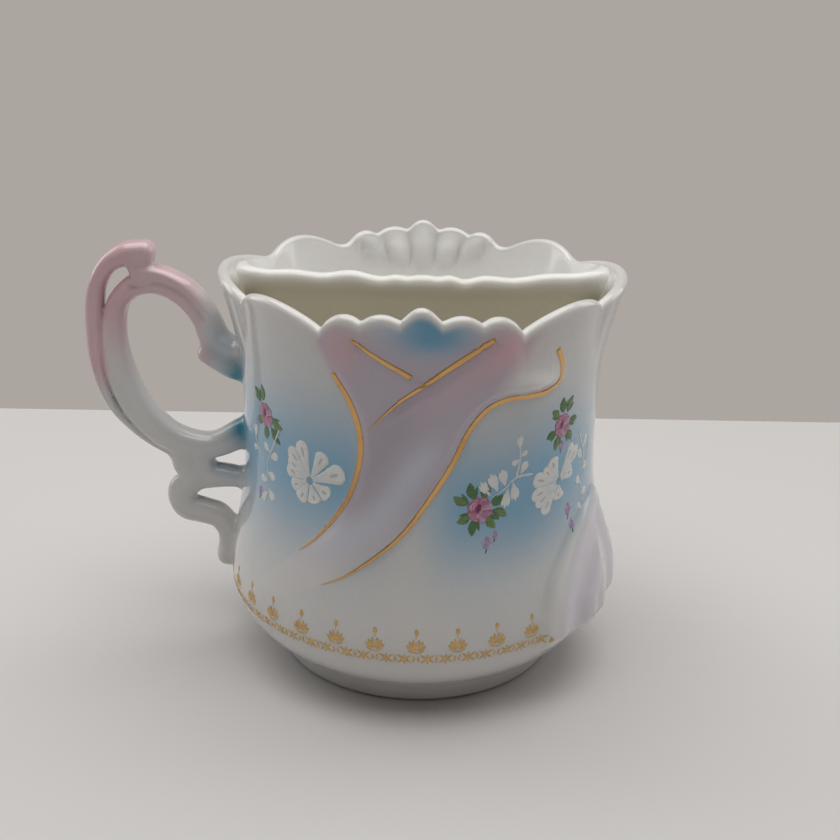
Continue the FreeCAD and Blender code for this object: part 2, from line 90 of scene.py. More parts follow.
# ---------- curves and distances
def smooth_path(points, count):
    """A smooth line through the points, as evenly spaced samples."""
    knots = np.array(points, float)
    gaps = np.linalg.norm(np.diff(knots, axis=0), axis=1)
    at = np.concatenate([[0], np.cumsum(gaps)])
    slopes = np.gradient(knots, at, axis=0) if len(knots) > 2 else np.repeat(
        (knots[1:] - knots[:1]) / at[-1], 2, axis=0)
    fine = np.linspace(0, at[-1], max(count * 4, 16))
    span = np.clip(np.searchsorted(at, fine, side="right") - 1, 0, len(knots) - 2)
    width = (at[span + 1] - at[span])[:, None]
    t = ((fine - at[span])[:, None]) / width
    line = ((2 * t**3 - 3 * t**2 + 1) * knots[span] + (t**3 - 2 * t**2 + t) * width * slopes[span]
            + (3 * t**2 - 2 * t**3) * knots[span + 1] + (t**3 - t**2) * width * slopes[span + 1])
    run = np.concatenate([[0], np.cumsum(np.linalg.norm(np.diff(line, axis=0), axis=1))])
    even = np.linspace(0, run[-1], count)
    return np.stack([np.interp(even, run, line[:, i]) for i in range(line.shape[1])], axis=1)


def step(low, high, value):
    """Smooth step from 0 at low to 1 at high."""
    t = np.clip((np.asarray(value, float) - low) / (high - low), 0, 1)
    return t * t * (3 - 2 * t)


def bump(value, centre, half):
    """Smooth bell, 1 at the centre and about 0.02 two half-widths away."""
    return np.exp(-((np.asarray(value, float) - centre) / half) ** 2)


def turned_angle(theta):
    """The angle brought to -180..180 degrees."""
    return (np.asarray(theta, float) + 180) % 360 - 180


def front_angle(theta):
    """The angle on the front half; the back repeats the front, turned half round."""
    return (np.asarray(theta, float) + 90) % 180 - 90


BATCH = 20000      # places measured in one go, to save memory


class Edge:
    """A line on the wall, given as angles and heights, with signed distances to it."""

    def __init__(self, places, count=90):
        self.line = smooth_path([(a * ARC, z) for a, z in places], count)
        ahead = np.gradient(self.line, axis=0)
        self.ahead = ahead / np.linalg.norm(ahead, axis=1)[:, None]

    def measure(self, theta, z):
        """Distance in millimetres, positive on the left of the line, and the share of the way along."""
        shape = np.shape(theta)
        spot = np.stack([np.ravel(theta) * ARC, np.ravel(z)], axis=1)
        away = np.empty(len(spot))
        along = np.empty(len(spot))
        for first in range(0, len(spot), BATCH):
            part = spot[first:first + BATCH]
            gap = part[:, None, :] - self.line[None]
            near = np.argmin((gap ** 2).sum(2), axis=1)
            offset = part - self.line[near]
            side = self.ahead[near, 0] * offset[:, 1] - self.ahead[near, 1] * offset[:, 0]
            size = np.linalg.norm(offset, axis=1)
            away[first:first + BATCH] = np.where(side < 0, -size, size)
            along[first:first + BATCH] = near / (len(self.line) - 1)
        return away.reshape(shape), along.reshape(shape)


# The four gilded lines of one face, from top to bottom.
LEFT_SWEEP = [(-24.1, 80.7), (-19.4, 74), (-17.3, 68.9), (-16.8, 64.2), (-18.1, 58.5),
              (-20.5, 53.2), (-25.3, 47.5), (-30.8, 42.5), (-36.9, 38.3)]
SHORT_BAR = [(-18.1, 88.8), (-10.5, 84.9), (-2.5, 81.2)]
CROSS_BAR = [(18.6, 89.3), (10.2, 85), (3, 80.8), (-5.5, 75.9), (-14, 69.4)]
RIGHT_SWEEP = [(39.2, 85), (42.4, 80.6), (42.6, 77.4), (38.9, 75.5), (31.8, 75.2), (25, 75.3),
               (19.8, 74), (15.6, 70.8), (9.3, 61.5), (3.5, 54.4), (-5.1, 45.5), (-13.6, 39.6),
               (-20.5, 35.5), (-28, 32.3)]
# The border of the moulded fold low on the right of each face, round its right, top and left.
FOLD_BORDER = [(84.5, 8), (84.3, 22), (83.4, 32), (81.2, 40), (77, 45.4), (71, 46.8), (63.5, 45.2),
               (52.5, 41.2), (44.8, 35.8), (40.1, 31.1), (38.0, 27), (37.1, 22.5), (37.3, 14), (37.6, 8)]

left_edge = Edge([(-29.5, 94), (-27.5, 87)] + LEFT_SWEEP)
short_edge = Edge(SHORT_BAR)
cross_edge = Edge(CROSS_BAR)
right_edge = Edge(RIGHT_SWEEP)
swath_edge = Edge([(60, 79), (48, 76.6)] + RIGHT_SWEEP[4:])
fold_edge = Edge(FOLD_BORDER)


# ---------- the wall as a surface
def sharp_lobes(a, at_back):
    """Rim height, rim radius and way into a lobe, at angles from the middle of a face."""
    height = np.zeros_like(a)
    radius = np.zeros_like(a)
    inside = np.zeros_like(a)
    for start, end, top, wide, front_power, back_power in LOBES:
        power = np.where(at_back, back_power, front_power)
        low_z, low_r = NOTCHES[abs(start)]
        high_z, high_r = NOTCHES.get(end, NOTCHES[LAST_NOTCH])
        here = (a >= start) & (a <= end)
        t = np.clip((a - start) / (end - start), 0, 1)
        arch = (4 * t * (1 - t)) ** power
        height = np.where(here, low_z + (high_z - low_z) * t + (top - (low_z + high_z) / 2) * arch, height)
        radius = np.where(here, low_r + (high_r - low_r) * t + (wide - (low_r + high_r) / 2) * arch, radius)
        inside = np.where(here, arch, inside)
    return height, radius, inside


BACK_SOFTENING = 3.6


def lobe_values(theta):
    """Rim height, rim radius and way into a lobe (0 at a notch, 1 at its top), round the mug."""
    a = np.abs(turned_angle(theta))
    at_back = a > 90
    a = np.where(at_back, 180 - a, a)
    sharp = sharp_lobes(a, at_back)
    # The back's notches are soft: the outline is averaged over a few degrees, least at the crown.
    reach = BACK_SOFTENING * at_back * (0.28 + 0.72 * step(20, 30, a)) * step(90, 80, a)
    soft = [np.zeros_like(a), np.zeros_like(a)]
    for share, weight in ((-1.0, 0.15), (-0.5, 0.22), (0.0, 0.26), (0.5, 0.22), (1.0, 0.15)):
        height, radius, _ = sharp_lobes(np.abs(a + share * reach), at_back)
        soft[0] = soft[0] + weight * height
        soft[1] = soft[1] + weight * radius
    return soft[0], soft[1], sharp[2]


profile_line = smooth_path(WALL_PROFILE, 400)


def profile_radius(z):
    return np.interp(z, profile_line[:, 0], profile_line[:, 1])


FLARE_DEPTH = 15.0


def flare(theta, z):
    """How far the rim's lobes stand in or out of the plain profile."""
    height, radius, _ = lobe_values(theta)
    at_rim = radius - profile_radius(height)
    return at_rim * step(0, 1, (z - (height - FLARE_DEPTH)) / FLARE_DEPTH) ** 1.4


def roll(distance, foot, top, width):
    """A moulded ridge that rises from its foot to its top and then dies away over a width."""
    return step(foot, top, distance) * np.exp(-(np.maximum(distance - top, 0) / width) ** 2)


def relief(theta, z):
    """Height of the moulded folds over the plain wall."""
    face = front_angle(theta)
    d_left, t_left = left_edge.measure(face, z)
    d_short = short_edge.measure(face, z)[0]
    d_cross, t_cross = cross_edge.measure(face, z)
    d_right, t_right = swath_edge.measure(face, z)
    d_fold = fold_edge.measure(face, z)[0]

    # Running down the line, the ribbon lies on its right, where the distance is negative.
    swath = roll(-d_right, 0.2, 3.4, 7.5) * step(0.10, 0.38, t_right)
    swath = swath * step(1.0, 0.75, t_right) * step(47, 36, face)
    groove = bump(d_right, 0.3, 0.9) * step(0.12, 0.25, t_right) * step(1.0, 0.8, t_right)
    ribbon = roll(d_left, -0.2, 2.6, 6.0) * step(0.12, 0.30, t_left) * step(1.0, 0.75, t_left)
    upper = roll(d_cross, 0.0, 2.6, 5.5) * step(1.0, 0.65, t_cross) * step(-0.2, 0.2, t_cross)
    small = roll(-d_short, 0.0, 1.8, 4.0)
    puff = bump(face, 31, 8.5) * bump(z, 78.6, 2.6) * step(-0.2, 1.6, -d_right)

    pleats = 0.80 + 0.20 * np.cos(2 * math.pi * (np.maximum(d_fold, 0) - 3.4) / 12.0)
    fold = step(0.0, 2.8, d_fold) * pleats
    fold = fold * step(12.0, 18.5, z) * (0.35 + 0.65 * step(45, 25, z))

    # Beside the handle the fold of the back face dies away.
    around_mug = turned_angle(theta)
    fold = fold * np.where(around_mug < 0, step(-98, -124, around_mug), 1.0)

    under_rim = step(0, 7, lobe_values(theta)[0] - z)
    height = 1.9 * swath - 0.25 * groove + 1.1 * ribbon + 1.2 * upper + 0.4 * small + 1.9 * puff
    return height * under_rim + 2.8 * fold


def outer_radius(theta, z):
    return profile_radius(z) + flare(theta, z) + relief(theta, z)


LIP_THICK = 2.7
WALL_THICK = 3.0
HEEL_RADIUS = 13.0
PETAL_CREASE = 83.6
CROWN_HALF = 27.6


def shell(theta, z, height):
    """Inside each crown: where its petals lie, how far into a petal, and how high up it."""
    face = front_angle(theta)
    crease = PETAL_CREASE + 5.2 * (face / 26.0) ** 2
    rise = np.clip((z - crease) / np.maximum(height - crease, 1.0), 0, 1)
    # The petals narrow downwards, like the ribs of a shell.
    spread = face / (0.72 + 0.28 * rise)
    inside = sharp_lobes(np.abs(spread), np.abs(turned_angle(theta)) > 90)[2]
    petals = step(0.0, 2.2, z - crease) * step(CROWN_HALF + 0.9, CROWN_HALF - 1.1, np.abs(spread))
    return petals, inside, rise


def inner_radius(theta, z):
    """The well's side, with shell flutes under the two crowns and a rounded heel at the floor."""
    thick = WALL_THICK + (LIP_THICK - WALL_THICK) * step(82, 92, z)
    height = lobe_values(theta)[0]
    wide = profile_radius(np.maximum(z, WELL_FLOOR + HEEL_RADIUS)) + flare(theta, z) - thick
    petals, deep_inside, rise = shell(theta, z, height)
    pillow = np.sin(math.pi * rise ** 0.8) ** 0.8
    flutes = petals * (0.55 - 2.35 * deep_inside ** 0.6 * pillow)
    drop = np.clip((WELL_FLOOR + HEEL_RADIUS - z) / HEEL_RADIUS, 0, 1)
    heel = HEEL_RADIUS * (1 - np.sqrt(np.maximum(1 - drop ** 2, 0)))
    under_lip = step(0.0, 3.0, height - z)
    return wide + flutes * (0.25 + 0.75 * under_lip) - heel


# ---------- glaze colours, with painted light and painted shade
WHITE = np.array([0.72, 0.712, 0.700])
# A lighter copy of the white glaze: painted light on the well's inside and the divider, and the colour of
# painted highlights.
PAINTED_LIGHT_WHITE = np.array([0.92, 0.912, 0.888])
# The lip's white, lighter than the wall's white: painted light on the unsprayed lip.
LIT_LIP_WHITE = np.array([0.80, 0.785, 0.765])
# Painted shade: deep in the well, in its corners beside the divider, and in the shell's creases.
WELL_SHADE = np.array([0.72, 0.685, 0.56])
CORNER_SHADE = np.array([0.38, 0.345, 0.225])
RIB_SHADE = np.array([0.62, 0.60, 0.56])
SKY = np.array([0.218, 0.462, 0.665])
DEEP_SKY = np.array([0.09, 0.33, 0.52])
MAUVE = np.array([0.46, 0.40, 0.50])
PINK = np.array([0.71, 0.42, 0.46])
LAVENDER = np.array([0.70, 0.67, 0.74])
TEAL = np.array([0.05, 0.27, 0.38])
# Painted highlight on the swath's crest, and painted shade in its valley.
CREST_HIGHLIGHT = np.array([0.62, 0.67, 0.77])
VALLEY_SHADE = np.array([0.36, 0.31, 0.37])
SHADE_GREY = np.array([0.70, 0.71, 0.72])


def tint(base, colour, amount):
    amount = np.clip(amount, 0, 1)[..., None]
    return base * (1 - amount) + colour * amount


def airbrush(theta, z):
    """The sprayed ground colours of the outer wall, with painted highlights and painted shade, laid one over
    another.
    """
    face = front_angle(theta)
    d_left = left_edge.measure(face, z)[0]
    d_right = right_edge.measure(face, z)[0]
    d_fold, t_fold = fold_edge.measure(face, z)
    d_cross, t_cross = cross_edge.measure(face, z)

    in_ribbon = step(-1.2, 0.6, d_left) * step(-0.6, 1.2, -d_right)
    low = 1 - in_ribbon
    right_band = bump(z, 52.5 + 3.5 * bump(face, 46, 14), 14.5) * step(-6, 14, face)
    left_band = bump(z, 57.0, 16.0) * step(0, -24, face) * step(-91, -70, face)
    deep = bump(face, 38, 15) * bump(z, 46.5, 7.5) * low
    ribbon_fade = step(34, 56, z)
    past_ribbon = face - (30.0 - 0.85 * (90.0 - z))
    hidden = 1 - step(76, 80, z) * step(-3.0, 5.0, past_ribbon)
    # Painted highlight along the swath's crest, and painted shade in the valley beside it.
    crest_highlight = in_ribbon * bump(-d_right, 6.5, 3.2) * step(36, 44, z) * step(72, 62, z)
    valley_shade = in_ribbon * bump(-d_right, 14.5, 4.0) * step(40, 50, z) * step(80, 70, z)
    pink = bump(face, 23, 8.5) * bump(z, 88, 5.0) + bump(face, -21, 6.0) * bump(z, 86.5, 5.5)
    pink = pink + 0.55 * bump(d_cross, 4.0, 3.5) * step(0.9, 0.3, t_cross) * step(92, 84, z)
    crown = bump(face, 2.5, 9.5) * step(82.5, 90.0, z - 0.10 * np.abs(face - 2.5))
    in_fold = step(1.5, 5.0, d_fold) * step(26, 14, d_fold) * step(13, 18, z) * step(32, 37, face)
    # Painted highlight along the ridge at the fold's border.
    ridge = bump(d_fold, 2.2, 0.9) * step(13, 18, z) * step(0.2, 0.4, t_fold)
    # Painted highlight on the puff under the rim.
    puff = bump(face, 33, 6.0) * bump(z, 79.4, 2.3)
    # The lip is left bare of spray and takes the lighter lip white, which is painted light.
    bare_lip = step(2.6, 0.9, lobe_values(theta)[0] - z)

    colour = np.broadcast_to(WHITE, np.shape(face) + (3,)).copy()
    for spray, amount in (
            (SKY, 0.98 * low * left_band),
            (SKY, 0.95 * low * right_band * step(90, 58, face)),
            (DEEP_SKY, 0.30 * deep),
            (MAUVE, 0.80 * in_ribbon * ribbon_fade * hidden * step(97, 86, z)),
            (LAVENDER, 0.60 * in_ribbon * (1 - ribbon_fade) * step(30, 40, z)),
            # painted highlight on the crest and painted shade in the valley
            (CREST_HIGHLIGHT, 0.62 * crest_highlight),
            (VALLEY_SHADE, 0.40 * valley_shade),
            (PINK, 0.62 * pink),
            (SKY, 0.75 * crown),
            (DEEP_SKY, 0.85 * bump(face, 3.0, 8.0) * step(85.5, 90.0, z)),
            (LAVENDER, 0.85 * in_fold),
            # painted highlight on the fold's border ridge
            (PAINTED_LIGHT_WHITE, 0.55 * ridge),
            # painted highlight on the puff
            (PAINTED_LIGHT_WHITE, 0.65 * puff),
            (LIT_LIP_WHITE, bare_lip)):
        colour = tint(colour, spray, amount)
    return colour


# ---------- meshes
def in_scene(name, data):
    """A new object in the scene, made from a mesh, a light or a camera."""
    thing = bpy.data.objects.new(name, data)
    bpy.context.scene.collection.objects.link(thing)
    return thing


def make_object(name, points, faces, colours):
    """A smooth-shaded, tinted mesh object from millimetre points, riding on the mug."""
    mesh = bpy.data.meshes.new(name)
    mesh.from_pydata((np.asarray(points) * MM).tolist(), [], [tuple(f) for f in faces])
    mesh.validate()
    mesh.polygons.foreach_set("use_smooth", [True] * len(mesh.polygons))
    # The colour layer carries the tints and the painted light and shade.
    layer = mesh.color_attributes.new("glaze_tint_and_painted_light", "FLOAT_COLOR", "POINT")
    rgba = np.ones((len(points), 4), np.float32)
    rgba[:, :3] = colours
    layer.data.foreach_set("color", rgba.ravel())
    mesh.update()
    piece = in_scene(name, mesh)
    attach(piece, "root")
    return piece


def ring_faces(rows, columns, closed_rows=False):
    """Quads between rings of vertices that close round the mug."""
    faces = []
    last = rows if closed_rows else rows - 1
    for j in range(last):
        below = j * columns
        above = ((j + 1) % rows) * columns
        for i in range(columns):
            k = (i + 1) % columns
            faces.append((below + i, below + k, above + k, above + i))
    return faces


def tube_faces(rows, columns):
    """The quads of a tube of rings, and a cap at either end."""
    faces = ring_faces(rows, columns)
    faces.append(tuple(range(columns))[::-1])
    faces.append(tuple(range((rows - 1) * columns, rows * columns)))
    return faces


def around(theta, radius, z):
    """Points at an angle from the front, a radius and a height."""
    a = np.asarray(theta, float) * DEGREE
    return np.stack([radius * np.sin(a), -radius * np.cos(a), np.broadcast_to(z, np.shape(a))], axis=-1)


COLUMNS = 420
OUTER_ROWS = 142
LIP_ROWS = 7
INNER_ROWS = 52
UNDER_RECESS = 4.2
UNDER_RADIUS = 30.9


def wall_rows(theta):
    """The rings of the mug's one skin, from under it, up outside, over the lip and down inside."""
    rim = lobe_values(theta)[0]
    lip_half = LIP_THICK / 2
    shoulder = rim - lip_half
    rows = []
    tints = []

    def add(radius, z, colour):
        rows.append(around(theta, radius, z))
        tints.append(np.broadcast_to(colour, theta.shape + (3,)))

    for share in (0.02, 0.35, 0.7, 0.95):
        add(UNDER_RADIUS * share, UNDER_RECESS, WHITE)
    add(UNDER_RADIUS + 1.2, UNDER_RECESS - 0.4, WHITE)
    add(FOOT_RADIUS - 0.3, UNDER_RECESS - 0.2, WHITE)
    for share in np.linspace(0, 1, OUTER_ROWS) ** 1.12:
        z = WALL_FOOT + (shoulder - WALL_FOOT) * share
        add(outer_radius(theta, z), z, airbrush(theta, z))
    outer_top = outer_radius(theta, shoulder)
    inner_top = inner_radius(theta, shoulder)
    middle = (outer_top + inner_top) / 2
    half = (outer_top - inner_top) / 2
    # The lip's rows take the lighter lip white, as painted light.
    for turn in np.linspace(0, math.pi, LIP_ROWS + 2)[1:-1]:
        add(middle + half * math.cos(turn), shoulder + lip_half * math.sin(turn), LIT_LIP_WHITE)
    for share in np.linspace(0, 1, INNER_ROWS) ** 0.9:
        z = shoulder + (WELL_FLOOR - shoulder) * share
        in_well = np.maximum(step(101, 96, np.abs(turned_angle(theta))), step(TRAY_TOP, TRAY_UNDER, z))
        # Painted shade: the well's inside darkens deeper below the rim.
        deep = step(3, 13, rim - z) * in_well
        colour = tint(np.broadcast_to(PAINTED_LIGHT_WHITE, theta.shape + (3,)), WELL_SHADE, deep)
        petals, deep_inside, _ = shell(theta, z, rim)
        # Painted shade in the creases between the shell's petals.
        colour = tint(colour, RIB_SHADE, 0.50 * petals * (1 - deep_inside ** 0.5) * (1 - in_well * 0.5))
        # Painted shade: dark olive in the well's corners beside the divider.
        corner = bump(np.abs(turned_angle(theta)), 86, 14) * step(3.0, 6.5, rim - z) * in_well
        add(inner_radius(theta, z), z, tint(colour, CORNER_SHADE, 0.9 * corner))
    floor_edge = inner_radius(theta, WELL_FLOOR)
    # The well's floor is in painted shade.
    for share in (0.75, 0.4, 0.02):
        add(floor_edge * share, WELL_FLOOR, WELL_SHADE)
    return np.array(rows), np.array(tints)


FIRST_OUTER = 6
theta_ring = np.arange(COLUMNS) * 360.0 / COLUMNS - 180
skin_rows, skin_tints = wall_rows(theta_ring)
outer_grid = skin_rows[FIRST_OUTER:FIRST_OUTER + OUTER_ROWS]


def make_wall():
    faces = tube_faces(len(skin_rows), COLUMNS)
    return make_object("mug_wall", skin_rows.reshape(-1, 3), faces, skin_tints.reshape(-1, 3))


def on_wall(theta, z, lift):
    """Points that stand a little off the wall's own mesh, at an angle and a height."""
    theta = np.asarray(theta, float)
    z = np.asarray(z, float)
    column = ((theta + 180) % 360) * COLUMNS / 360.0
    left = np.floor(column).astype(int) % COLUMNS
    right = (left + 1) % COLUMNS
    sideways = (column - np.floor(column))[..., None]
    shoulder = lobe_values(theta)[0] - LIP_THICK / 2
    share = np.clip((z - WALL_FOOT) / (shoulder - WALL_FOOT), 0.0, 0.9999) ** (1 / 1.12)
    row = share * (OUTER_ROWS - 1)
    low = np.floor(row).astype(int)
    up = (row - low)[..., None]
    high = np.minimum(low + 1, OUTER_ROWS - 1)
    corner_a = outer_grid[low, left]
    corner_b = outer_grid[low, right]
    corner_c = outer_grid[high, left]
    corner_d = outer_grid[high, right]
    place = ((corner_a * (1 - sideways) + corner_b * sideways) * (1 - up)
             + (corner_c * (1 - sideways) + corner_d * sideways) * up)
    east = (corner_b - corner_a) * (1 - up) + (corner_d - corner_c) * up
    north = (corner_c - corner_a) * (1 - sideways) + (corner_d - corner_b) * sideways
    normal = np.cross(east, north)
    normal /= np.linalg.norm(normal, axis=-1)[..., None]
    return place + normal * np.asarray(lift)[..., None]


# ---------- foot, divider and tray
BARE_HEIGHT = 0.35
FOOT_COLUMNS = 180


def make_foot_ring(glaze, bare):
    """The ring it stands on, with rounded edges worn bare underneath."""
    inner = FOOT_RADIUS - 2.8
    section = []
    edge = 0.7
    for middle, first in ((FOOT_RADIUS - edge, 0), (inner + edge, math.pi / 2)):
        for turn in np.linspace(first, first + math.pi / 2, 5):
            section.append((middle + edge * math.cos(turn), edge - edge * math.sin(turn)))
    section += [(inner - 0.1, 2.4), (inner - 0.6, UNDER_RECESS + 0.6), (FOOT_RADIUS + 1.6, 5.3),
                (FOOT_RADIUS + 0.5, 4.3), (FOOT_RADIUS + 0.1, 2.6)]
    theta = np.arange(FOOT_COLUMNS) * 360.0 / FOOT_COLUMNS - 180
    rows = np.array([around(theta, r, z) for r, z in section])
    points = rows.reshape(-1, 3)
    faces = ring_faces(len(section), FOOT_COLUMNS, True)
    piece = make_object("foot_ring_skin", points, faces, np.broadcast_to(WHITE, points.shape))
    piece.data.materials.append(glaze)
    piece.data.materials.append(bare)
    heights = np.array([points[list(face), 2].mean() for face in faces])
    piece.data.polygons.foreach_set("material_index", (heights < BARE_HEIGHT).astype(int))
    return piece


DIVIDER_LIP = [(-46, 92.4), (-42, 91.6), (-38, 90.9), (-31, 90.9), (-24, 90.2), (-17, 90.9), (-9, 89.6),
               (-6, 90.0), (-3, 89.7), (0, 90.0), (3, 89.7), (6, 90.0), (9.7, 89.2), (14, 90.0),
               (22, 89.7), (30, 90.8), (38, 91.2), (42, 91.9), (46, 92.8)]
LIP_RISE = 2.1
LIP_SWELL = 0.25
DIVIDER_MIDDLE = (DIVIDER_FRONT + DIVIDER_BACK) / 2
DIVIDER_HALF = (DIVIDER_BACK - DIVIDER_FRONT) / 2


def make_divider():
    """The wall across the mouth: upright faces under a round, wavy lip that runs into the sides."""
    lip_line = smooth_path(DIVIDER_LIP, 400)
    columns = 240
    ladder = np.linspace(0, 1, 30)

    def reach_to_wall(y, z, side):
        """Distance from the middle plane to the wall's inside, at each y and z."""
        theta = np.full_like(z, 90.0 * side)
        for _ in range(3):
            x = np.sqrt(np.maximum(inner_radius(theta, z) ** 2 - y ** 2, 1.0))
            theta = np.degrees(np.arctan2(side * x, -y))
        return x

    def section(top_z):
        """The y and z of a section, up the front face, over the lip and down the back face."""
        shoulder = top_z - LIP_RISE
        face_z = TRAY_UNDER + (shoulder - TRAY_UNDER) * ladder
        half = DIVIDER_HALF + LIP_SWELL * step(shoulder - 3.5, shoulder, face_z)
        turn = np.linspace(math.pi, 0, 14)[1:-1]
        over_y = DIVIDER_MIDDLE + half[-1] * np.cos(turn)
        over_z = shoulder + LIP_RISE * np.sin(turn)
        ys = np.concatenate([DIVIDER_MIDDLE - half, over_y, (DIVIDER_MIDDLE + half)[::-1]])
        return ys, np.concatenate([face_z, over_z, face_z[::-1]])

    points = []
    for u in np.sin(np.linspace(-math.pi / 2, math.pi / 2, columns)):
        ys, zs = section(np.interp(u * 44.5, lip_line[:, 0], lip_line[:, 1]))
        side = 1.0 if u >= 0 else -1.0
        gap = reach_to_wall(ys, zs, side) * (1 - abs(u))
        size = 1.4 + 3.2 * step(80, 91, zs)
        fillet = size * (1 - np.sqrt(1 - np.clip(1 - gap / size, 0, 1) ** 2))
        y = ys + np.clip((ys - DIVIDER_MIDDLE) / 1.2, -1, 1) * fillet
        z = zs + 0.18 * fillet * step(86, 90, zs)
        x = side * (reach_to_wall(y, z, side) + 0.7 - gap)
        points.append(np.stack([x, y, z], axis=1))
    faces = tube_faces(columns, len(points[0]))
    flat = np.concatenate(points)
    # Painted shade: the divider's front face darkens lower down.
    deep = step(90.8, 85.0, flat[:, 2])
    colours = tint(np.broadcast_to(PAINTED_LIGHT_WHITE, flat.shape), WELL_SHADE, deep * step(8.4, 7.2, flat[:, 1]))
    # Painted shade: dark olive where the divider meets the sides.
    corner = step(34, 43, np.abs(flat[:, 0])) * step(88.5, 85, flat[:, 2])
    colours = tint(colours, CORNER_SHADE, 0.7 * corner * step(8.4, 7.2, flat[:, 1]))
    return make_object("divider_with_wavy_lip", flat, faces, colours)


DRAIN_RADIUS = 1.8
DRAIN_SPACING = 13.0
DRAIN_LINE = 23.0
DRAIN_SIDES = 32


def drill(piece, x):
    """Cuts one drain hole with a rounded mouth through the tray."""
    theta = np.arange(DRAIN_SIDES) * 360.0 / DRAIN_SIDES
    rings = [around(theta, r, z) + (x, DRAIN_LINE, 0) for z, r in (
        (TRAY_UNDER - 2, DRAIN_RADIUS), (TRAY_TOP - 0.5, DRAIN_RADIUS),
        (TRAY_TOP - 0.1, DRAIN_RADIUS + 0.25), (TRAY_TOP + 2, DRAIN_RADIUS + 2.2))]
    mesh = bpy.data.meshes.new("drain_cutter")
    mesh.from_pydata((np.concatenate(rings) * MM).tolist(), [], tube_faces(len(rings), DRAIN_SIDES))
    cutter = in_scene("drain_cutter", mesh)
    cut = piece.modifiers.new("drain", "BOOLEAN")
    cut.operation = "DIFFERENCE"
    cut.solver = "EXACT"
    cut.object = cutter
    bpy.context.view_layer.update()
    graph = bpy.context.evaluated_depsgraph_get()
    drilled = bpy.data.meshes.new_from_object(piece.evaluated_get(graph), depsgraph=graph,
                                              preserve_all_data_layers=True)
    piece.modifiers.clear()
    piece.data = drilled
    bpy.data.objects.remove(cutter)


def make_tray():
    """The half-moon tray floor, dished up to the walls round it, with three drain holes."""
    columns = 121
    rows = 41
    sweep = 2.6
    side_radius = float(inner_radius(100.0, TRAY_TOP))
    half = math.sqrt(side_radius ** 2 - DIVIDER_BACK ** 2) + 0.4
    radius = float(inner_radius(180.0, TRAY_TOP)) + 0.4
    x = half * np.sin(np.linspace(-math.pi / 2, math.pi / 2, columns))[:, None]
    far = np.sqrt(np.maximum(radius ** 2 - x ** 2, (DIVIDER_BACK + 0.05) ** 2))
    share = (1 - np.cos(np.linspace(0, math.pi, rows))) / 2
    y = (DIVIDER_BACK - 0.4) + (far - DIVIDER_BACK + 0.4) * share
    to_wall = np.minimum(y - DIVIDER_BACK, radius - np.hypot(x, y))
    rise = sweep * (1 - np.sqrt(1 - np.clip(1 - to_wall / sweep, 0, 1) ** 2))
    top, under = [np.stack([x + 0 * y, y, z + 0 * y], axis=-1).reshape(-1, 3)
                  for z in (TRAY_TOP + rise, TRAY_UNDER)]
    faces = []
    shift = columns * rows
    for i in range(columns - 1):
        for a in range(i * rows, (i + 1) * rows - 1):
            faces.append((a, a + rows, a + rows + 1, a + 1))
            faces.append(tuple(k + shift for k in (a, a + 1, a + rows + 1, a + rows)))
    border = [i * rows for i in range(columns)]
    border += [(columns - 1) * rows + j for j in range(1, rows)]
    border += [i * rows + rows - 1 for i in range(columns - 2, -1, -1)]
    border += list(range(rows - 2, 0, -1))
    for a, b in zip(border, border[1:] + border[:1]):
        faces.append((a, a + shift, b + shift, b))
    piece = make_object("soap_tray_floor", np.concatenate([top, under]), faces,
                        np.broadcast_to(WHITE, (2 * shift, 3)))
    for number in (-1, 0, 1):
        drill(piece, number * DRAIN_SPACING)
    return piece


# ---------- the handle
# Each strand is a smooth centre line in the handle's plane, as (x, z, half width).
LOOP = [(-37, 54.6, 4.4), (-42.5, 52.3, 3.6), (-50.3, 49.0, 3.1), (-58.6, 50.4, 3.4),
        (-66.6, 57.4, 3.7), (-70.9, 67.0, 3.6), (-71.9, 77.5, 2.9), (-69.9, 84.9, 2.5),
        (-66.0, 88.4, 2.7), (-61.2, 89.4, 3.2), (-55.2, 87.0, 3.4), (-50.6, 81.4, 3.3),
        (-48.0, 75.2, 3.7), (-44.5, 71.4, 4.2), (-38, 70.2, 4.4)]
LEAF = [(-58.5, 46.4, 0.8), (-63.6, 49.2, 0.9), (-69.2, 53.9, 1.1), (-73.4, 59.2, 1.2),
        (-75.3, 64.5, 1.5), (-76.2, 71, 1.9), (-76.2, 78, 2.1), (-75.8, 84, 2.1),
        (-74.5, 89.3, 2.0), (-71.7, 93.4, 2.2), (-67.6, 95.6, 2.7), (-63.6, 96.2, 2.6)]
STEM = [(-64.9, 95.2, 2.9), (-64.2, 92.6, 3.0), (-63.2, 90.0, 3.2)]
CURL = [(-73.2, 90.6, 1.1), (-71.0, 93.8, 1.5), (-67.8, 94.9, 1.8), (-66.0, 92.9, 1.7), (-65.6, 90.2, 1.3)]
ARM_RIDGE = [(-65.5, 91.6, 1.2), (-61.5, 91.6, 1.5), (-56.4, 89.6, 1.5), (-52.0, 85.0, 1.3),
             (-49.2, 79.4, 1.0)]
LUG_LUMP = [(-50.2, 72.2, 2.3), (-47.2, 70.4, 2.5), (-43.5, 69.0, 3.0), (-38, 68.6, 3.4)]
KNUCKLE = [(-46.6, 75.6, 1.5), (-43.6, 73.8, 1.9), (-40.5, 73.0, 2.0)]
LINK = [(-57.2, 46.6, 3.2), (-56.8, 43.9, 3.1), (-55.2, 41.4, 2.6)]
LINK_HEEL = [(-53.2, 47.6, 3.1), (-52.4, 43.2, 3.0)]
